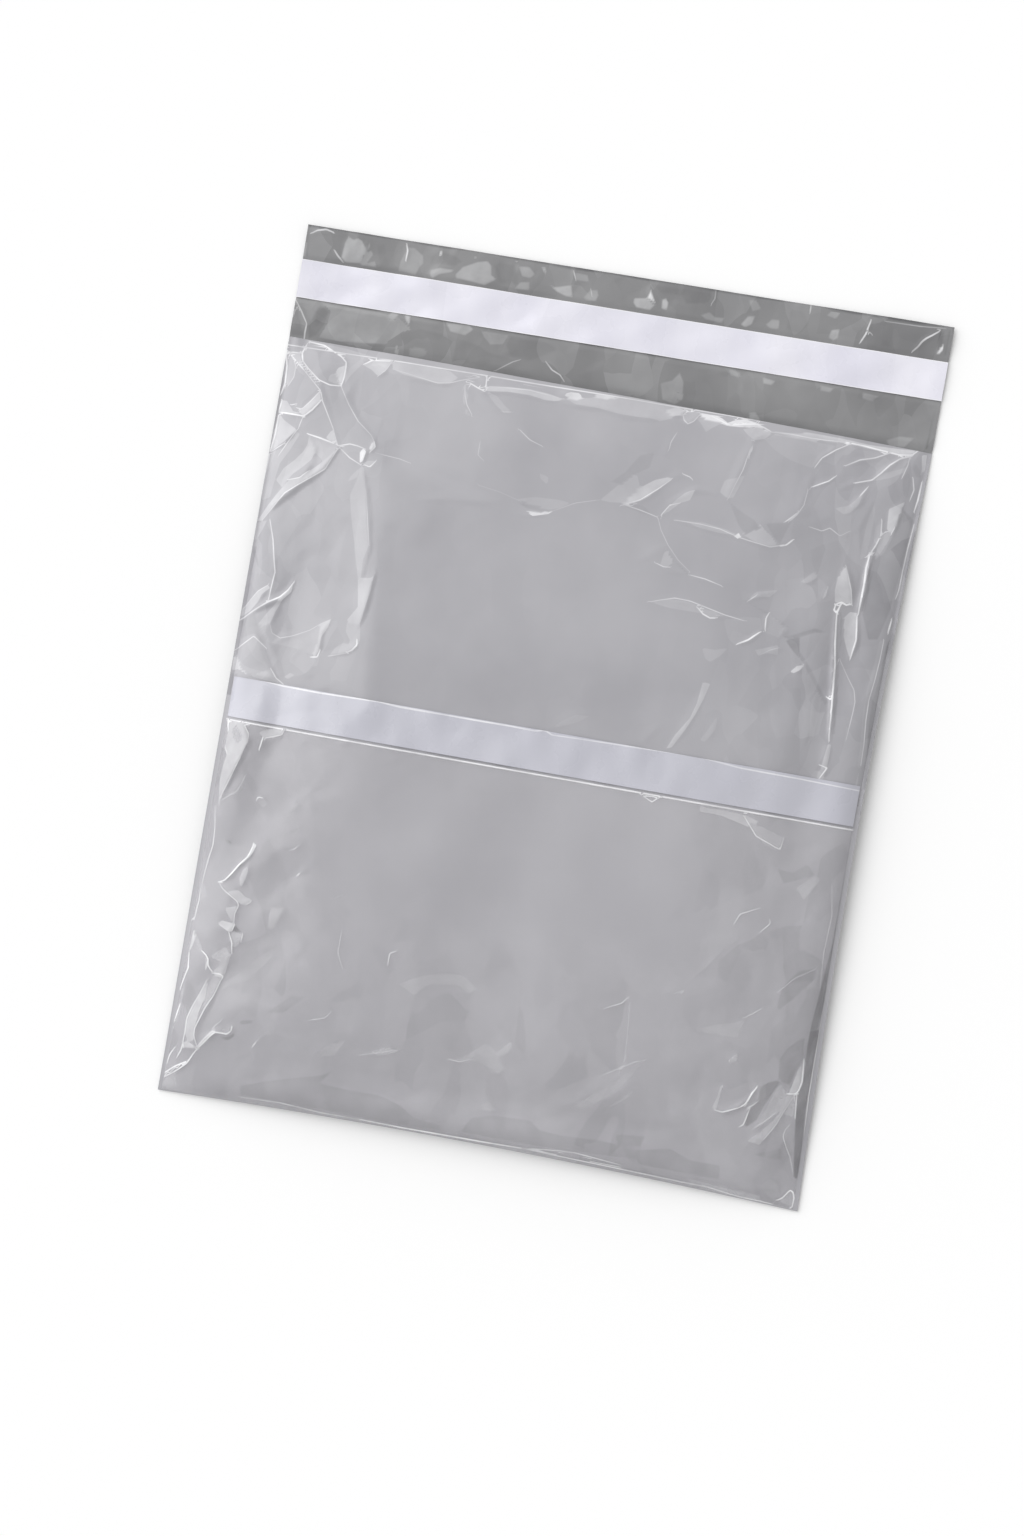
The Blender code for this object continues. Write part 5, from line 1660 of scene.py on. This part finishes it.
def liner_material(name, whites):
    """Coated release liner, white with a faint lilac tint and soft slanting streaks, with faint patches of
    painted fold shade and painted highlight lines along its edges and creases.
    """
    material, nodes, links, shader = new_material(name)
    streaks = noise(nodes, links, 14.0, 3.0, stretch=(2.2, 0.7, 1), turn=0.5)
    colour = ramp(nodes, links, streaks, *whites)
    # Faint patches of painted fold shade.
    folds = faint_facets(nodes, links, 16.0, 0.7)
    folds = math_node(nodes, links, "MULTIPLY", folds, LINER_FAINT_TONE)
    colour = tinted(nodes, links, colour, LINER_SHADE, folds)
    colour = tinted(nodes, links, colour, HIGHLIGHT_AND_WHITENING_WHITE, crease_whitening_and_highlight(nodes, links))
    links.new(colour, shader.inputs["Base Color"])
    rough = ramp(nodes, links, noise(nodes, links, 70.0), (0.22,) * 3, (0.36,) * 3)
    links.new(rough, shader.inputs["Roughness"])
    shader.inputs["Coat Weight"].default_value = 0.5
    shader.inputs["Coat Roughness"].default_value = 0.12
    grain(nodes, links, shader, 300.0, 0.15)
    return material


def adhesive_material():
    material, nodes, links, shader = new_material("hot_melt_adhesive")
    colour = ramp(nodes, links, noise(nodes, links, 80.0), *GLUE_YELLOW)
    links.new(colour, shader.inputs["Base Color"])
    rough = ramp(nodes, links, noise(nodes, links, 120.0), (0.25,) * 3, (0.45,) * 3)
    links.new(rough, shader.inputs["Roughness"])
    grain(nodes, links, shader, 400.0, 0.6)
    return material


# The pieces.


def build_film(outer, inner):
    """The bag's one film, in four meshes that meet under a liner, behind the fold and at the mouth."""
    upper_rows = graded((SPLIT_UNDER_LINER, BODY_LENGTH, 1.1 * MM))
    upper = add_grid("front_upper_film", FRONT_COLUMNS, upper_rows, place_front)
    thicken(upper, FILM, inner_slot=1)
    finish_piece(upper, (outer, inner), "grey_film", "bag_film")
    lower_rows = graded(
        (-FOLD_ARC - BACK_TURN, -FOLD_ARC, 3.0 * MM),
        (-FOLD_ARC, FOLD_ARC, FOLD_ARC / 3),
        (FOLD_ARC, FOLD_ARC + SPLIT_UNDER_LINER, LOWER_SPACING),
    )
    lower = add_grid("front_lower_film", LOWER_COLUMNS, lower_rows, place_lower)
    thicken(lower, FILM, inner_slot=1)
    finish_piece(lower, (outer, inner), "grey_film", "bag_film")
    back_rows = graded((BACK_TURN, FLAP_START, BACK_SPACING))
    back = add_grid("back_film", BACK_COLUMNS, back_rows, place_back)
    thicken(back, FILM, inner_slot=1)
    finish_piece(back, (inner, outer), "grey_film", "bag_film")
    flap_rows = graded((FLAP_START, BAG_LENGTH, 1.0 * MM))
    flap = add_grid("flap_film", FLAP_COLUMNS, flap_rows, place_flap)
    thicken(flap, FILM, inner_slot=1)
    finish_piece(flap, (inner, outer), "grey_film", "bag_film")


def build_pocket(clear):
    """The pocket's clear film, from its bottom weld to its lip."""
    rows = graded((0.8 * MM, POCKET_LIP, 1.15 * MM))
    pocket = add_grid("clear_pocket", POCKET_COLUMNS, rows, place_pocket)
    thicken(pocket, POCKET_FILM)
    finish_piece(pocket, (clear,), "clear_film", "pocket_film")


def build_band(name, node, height, thickness, ripple, seed, material, slot):
    """A band in the place of its node, as far to the right as to the left."""
    low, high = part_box(node)
    on_flap = low[1] - BOTTOM_EDGE > BODY_LENGTH
    right = max(high[0], -low[0])
    columns = graded((low[0], right, 1.6 * MM))
    rows = graded((low[1] - BOTTOM_EDGE, high[1] - BOTTOM_EDGE, 1.2 * MM))
    band = add_grid(name, columns, rows, place_band(on_flap, height, ripple, seed))
    thicken(band, thickness, offset=1.0)
    finish_piece(band, (material,), slot, node)


def build_bands(flap_white, pocket_white, glue):
    """The two adhesive bands, each under its liner."""
    above_glue = ADHESIVE + RESTING_GAP
    build_band("flap_glue_band", "flap_adhesive", 0.0, ADHESIVE, 0.0, 51, glue, "hot_melt_adhesive")
    build_band("flap_release_liner", "flap_liner", above_glue, LINER, 0.5 * MM, 52, flap_white,
               "release_liner")
    build_band("pocket_glue_band", "pocket_adhesive", 0.0, ADHESIVE, 0.0, 53, glue,
               "hot_melt_adhesive")
    build_band("pocket_release_liner", "pocket_liner", above_glue, LINER, 0.5 * MM, 54, pocket_white,
               "release_liner")


# Camera, lamp, floor and sky. The lamp's breadth is in degrees.

KEY_DIRECTION = (-0.80, 0.45, 0.68)
KEY_STRENGTH = 2.40
KEY_BREADTH = 76
SKY_STRENGTH = 0.53
FLOOR_LIFT = 0.045
FLOOR_BELOW = 0.5 * MM


def add_camera():
    """The photograph's camera."""
    data = bpy.data.cameras.new("camera")
    data.sensor_width = SENSOR
    data.lens = FOCAL_PIXELS * SENSOR / max(PHOTO_SIZE)
    camera = bpy.data.objects.new("camera", data)
    bpy.context.scene.collection.objects.link(camera)
    turn = Matrix((CAMERA_RIGHT, CAMERA_TOP, -CAMERA_VIEW)).transposed().to_4x4()
    camera.matrix_world = Matrix.Translation(CAMERA_PLACE) @ turn
    bpy.context.scene.camera = camera


def add_key(direction, strength, breadth):
    """A broad soft lamp far off, as even over the floor as over the bag."""
    data = bpy.data.lights.new("key", "SUN")
    data.energy = strength
    data.angle = math.radians(breadth)
    light = bpy.data.objects.new("key", data)
    bpy.context.scene.collection.objects.link(light)
    light.rotation_euler = (-Vector(direction)).to_track_quat("-Z", "Y").to_euler()


def seen_directly(nodes, links):
    """1 for the camera's own rays and for those that gloss or clear film sends on."""
    path = nodes.new("ShaderNodeLightPath")
    seen = math_node(nodes, links, "MAXIMUM", path.outputs["Is Camera Ray"],
                     path.outputs["Is Glossy Ray"])
    return math_node(nodes, links, "MAXIMUM", seen, path.outputs["Is Transmission Ray"])


def add_surroundings():
    """Pale floor, white to the camera and to reflections, under a plain soft sky."""
    world = bpy.data.worlds.new("studio")
    bpy.context.scene.world = world
    world.use_nodes = True
    nodes, links = world.node_tree.nodes, world.node_tree.links
    level = nodes.new("ShaderNodeMapRange")
    level.inputs["To Min"].default_value = SKY_STRENGTH
    level.inputs["To Max"].default_value = 1.0
    links.new(seen_directly(nodes, links), level.inputs["Value"])
    links.new(level.outputs["Result"], nodes["Background"].inputs["Strength"])
    nodes["Background"].inputs["Color"].default_value = (1, 1, 1, 1)
    bpy.ops.object.select_all(action="DESELECT")
    bpy.ops.mesh.primitive_plane_add(size=12, location=(0, 0, -FLOOR_BELOW))
    floor = bpy.context.object
    floor.name = "floor"
    material, nodes, links, shader = new_material("white_sweep")
    shader.inputs["Base Color"].default_value = (0.97, 0.97, 0.97, 1)
    shader.inputs["Roughness"].default_value = 0.9
    shader.inputs["Specular IOR Level"].default_value = 0.0
    shader.inputs["Emission Color"].default_value = (1, 1, 1, 1)
    lift = math_node(nodes, links, "MULTIPLY", seen_directly(nodes, links), FLOOR_LIFT)
    links.new(lift, shader.inputs["Emission Strength"])
    floor.data.materials.append(material)


def main():
    outer = film_material("grey_film_outside", OUTSIDE_GREY, (0.28, 0.38), 1.0, 0.2)
    inner = film_material("grey_film_inside", INSIDE_GREY, (0.30, 0.42), 0.8, 1.0)
    build_film(outer, inner)
    build_pocket(clear_material())
    build_bands(
        liner_material("flap_release_liner", FLAP_LINER_WHITE),
        liner_material("pocket_release_liner", POCKET_LINER_WHITE),
        adhesive_material(),
    )
    add_camera()
    add_surroundings()
    add_key(KEY_DIRECTION, KEY_STRENGTH, KEY_BREADTH)
    bpy.context.scene.view_settings.view_transform = "Standard"


main()
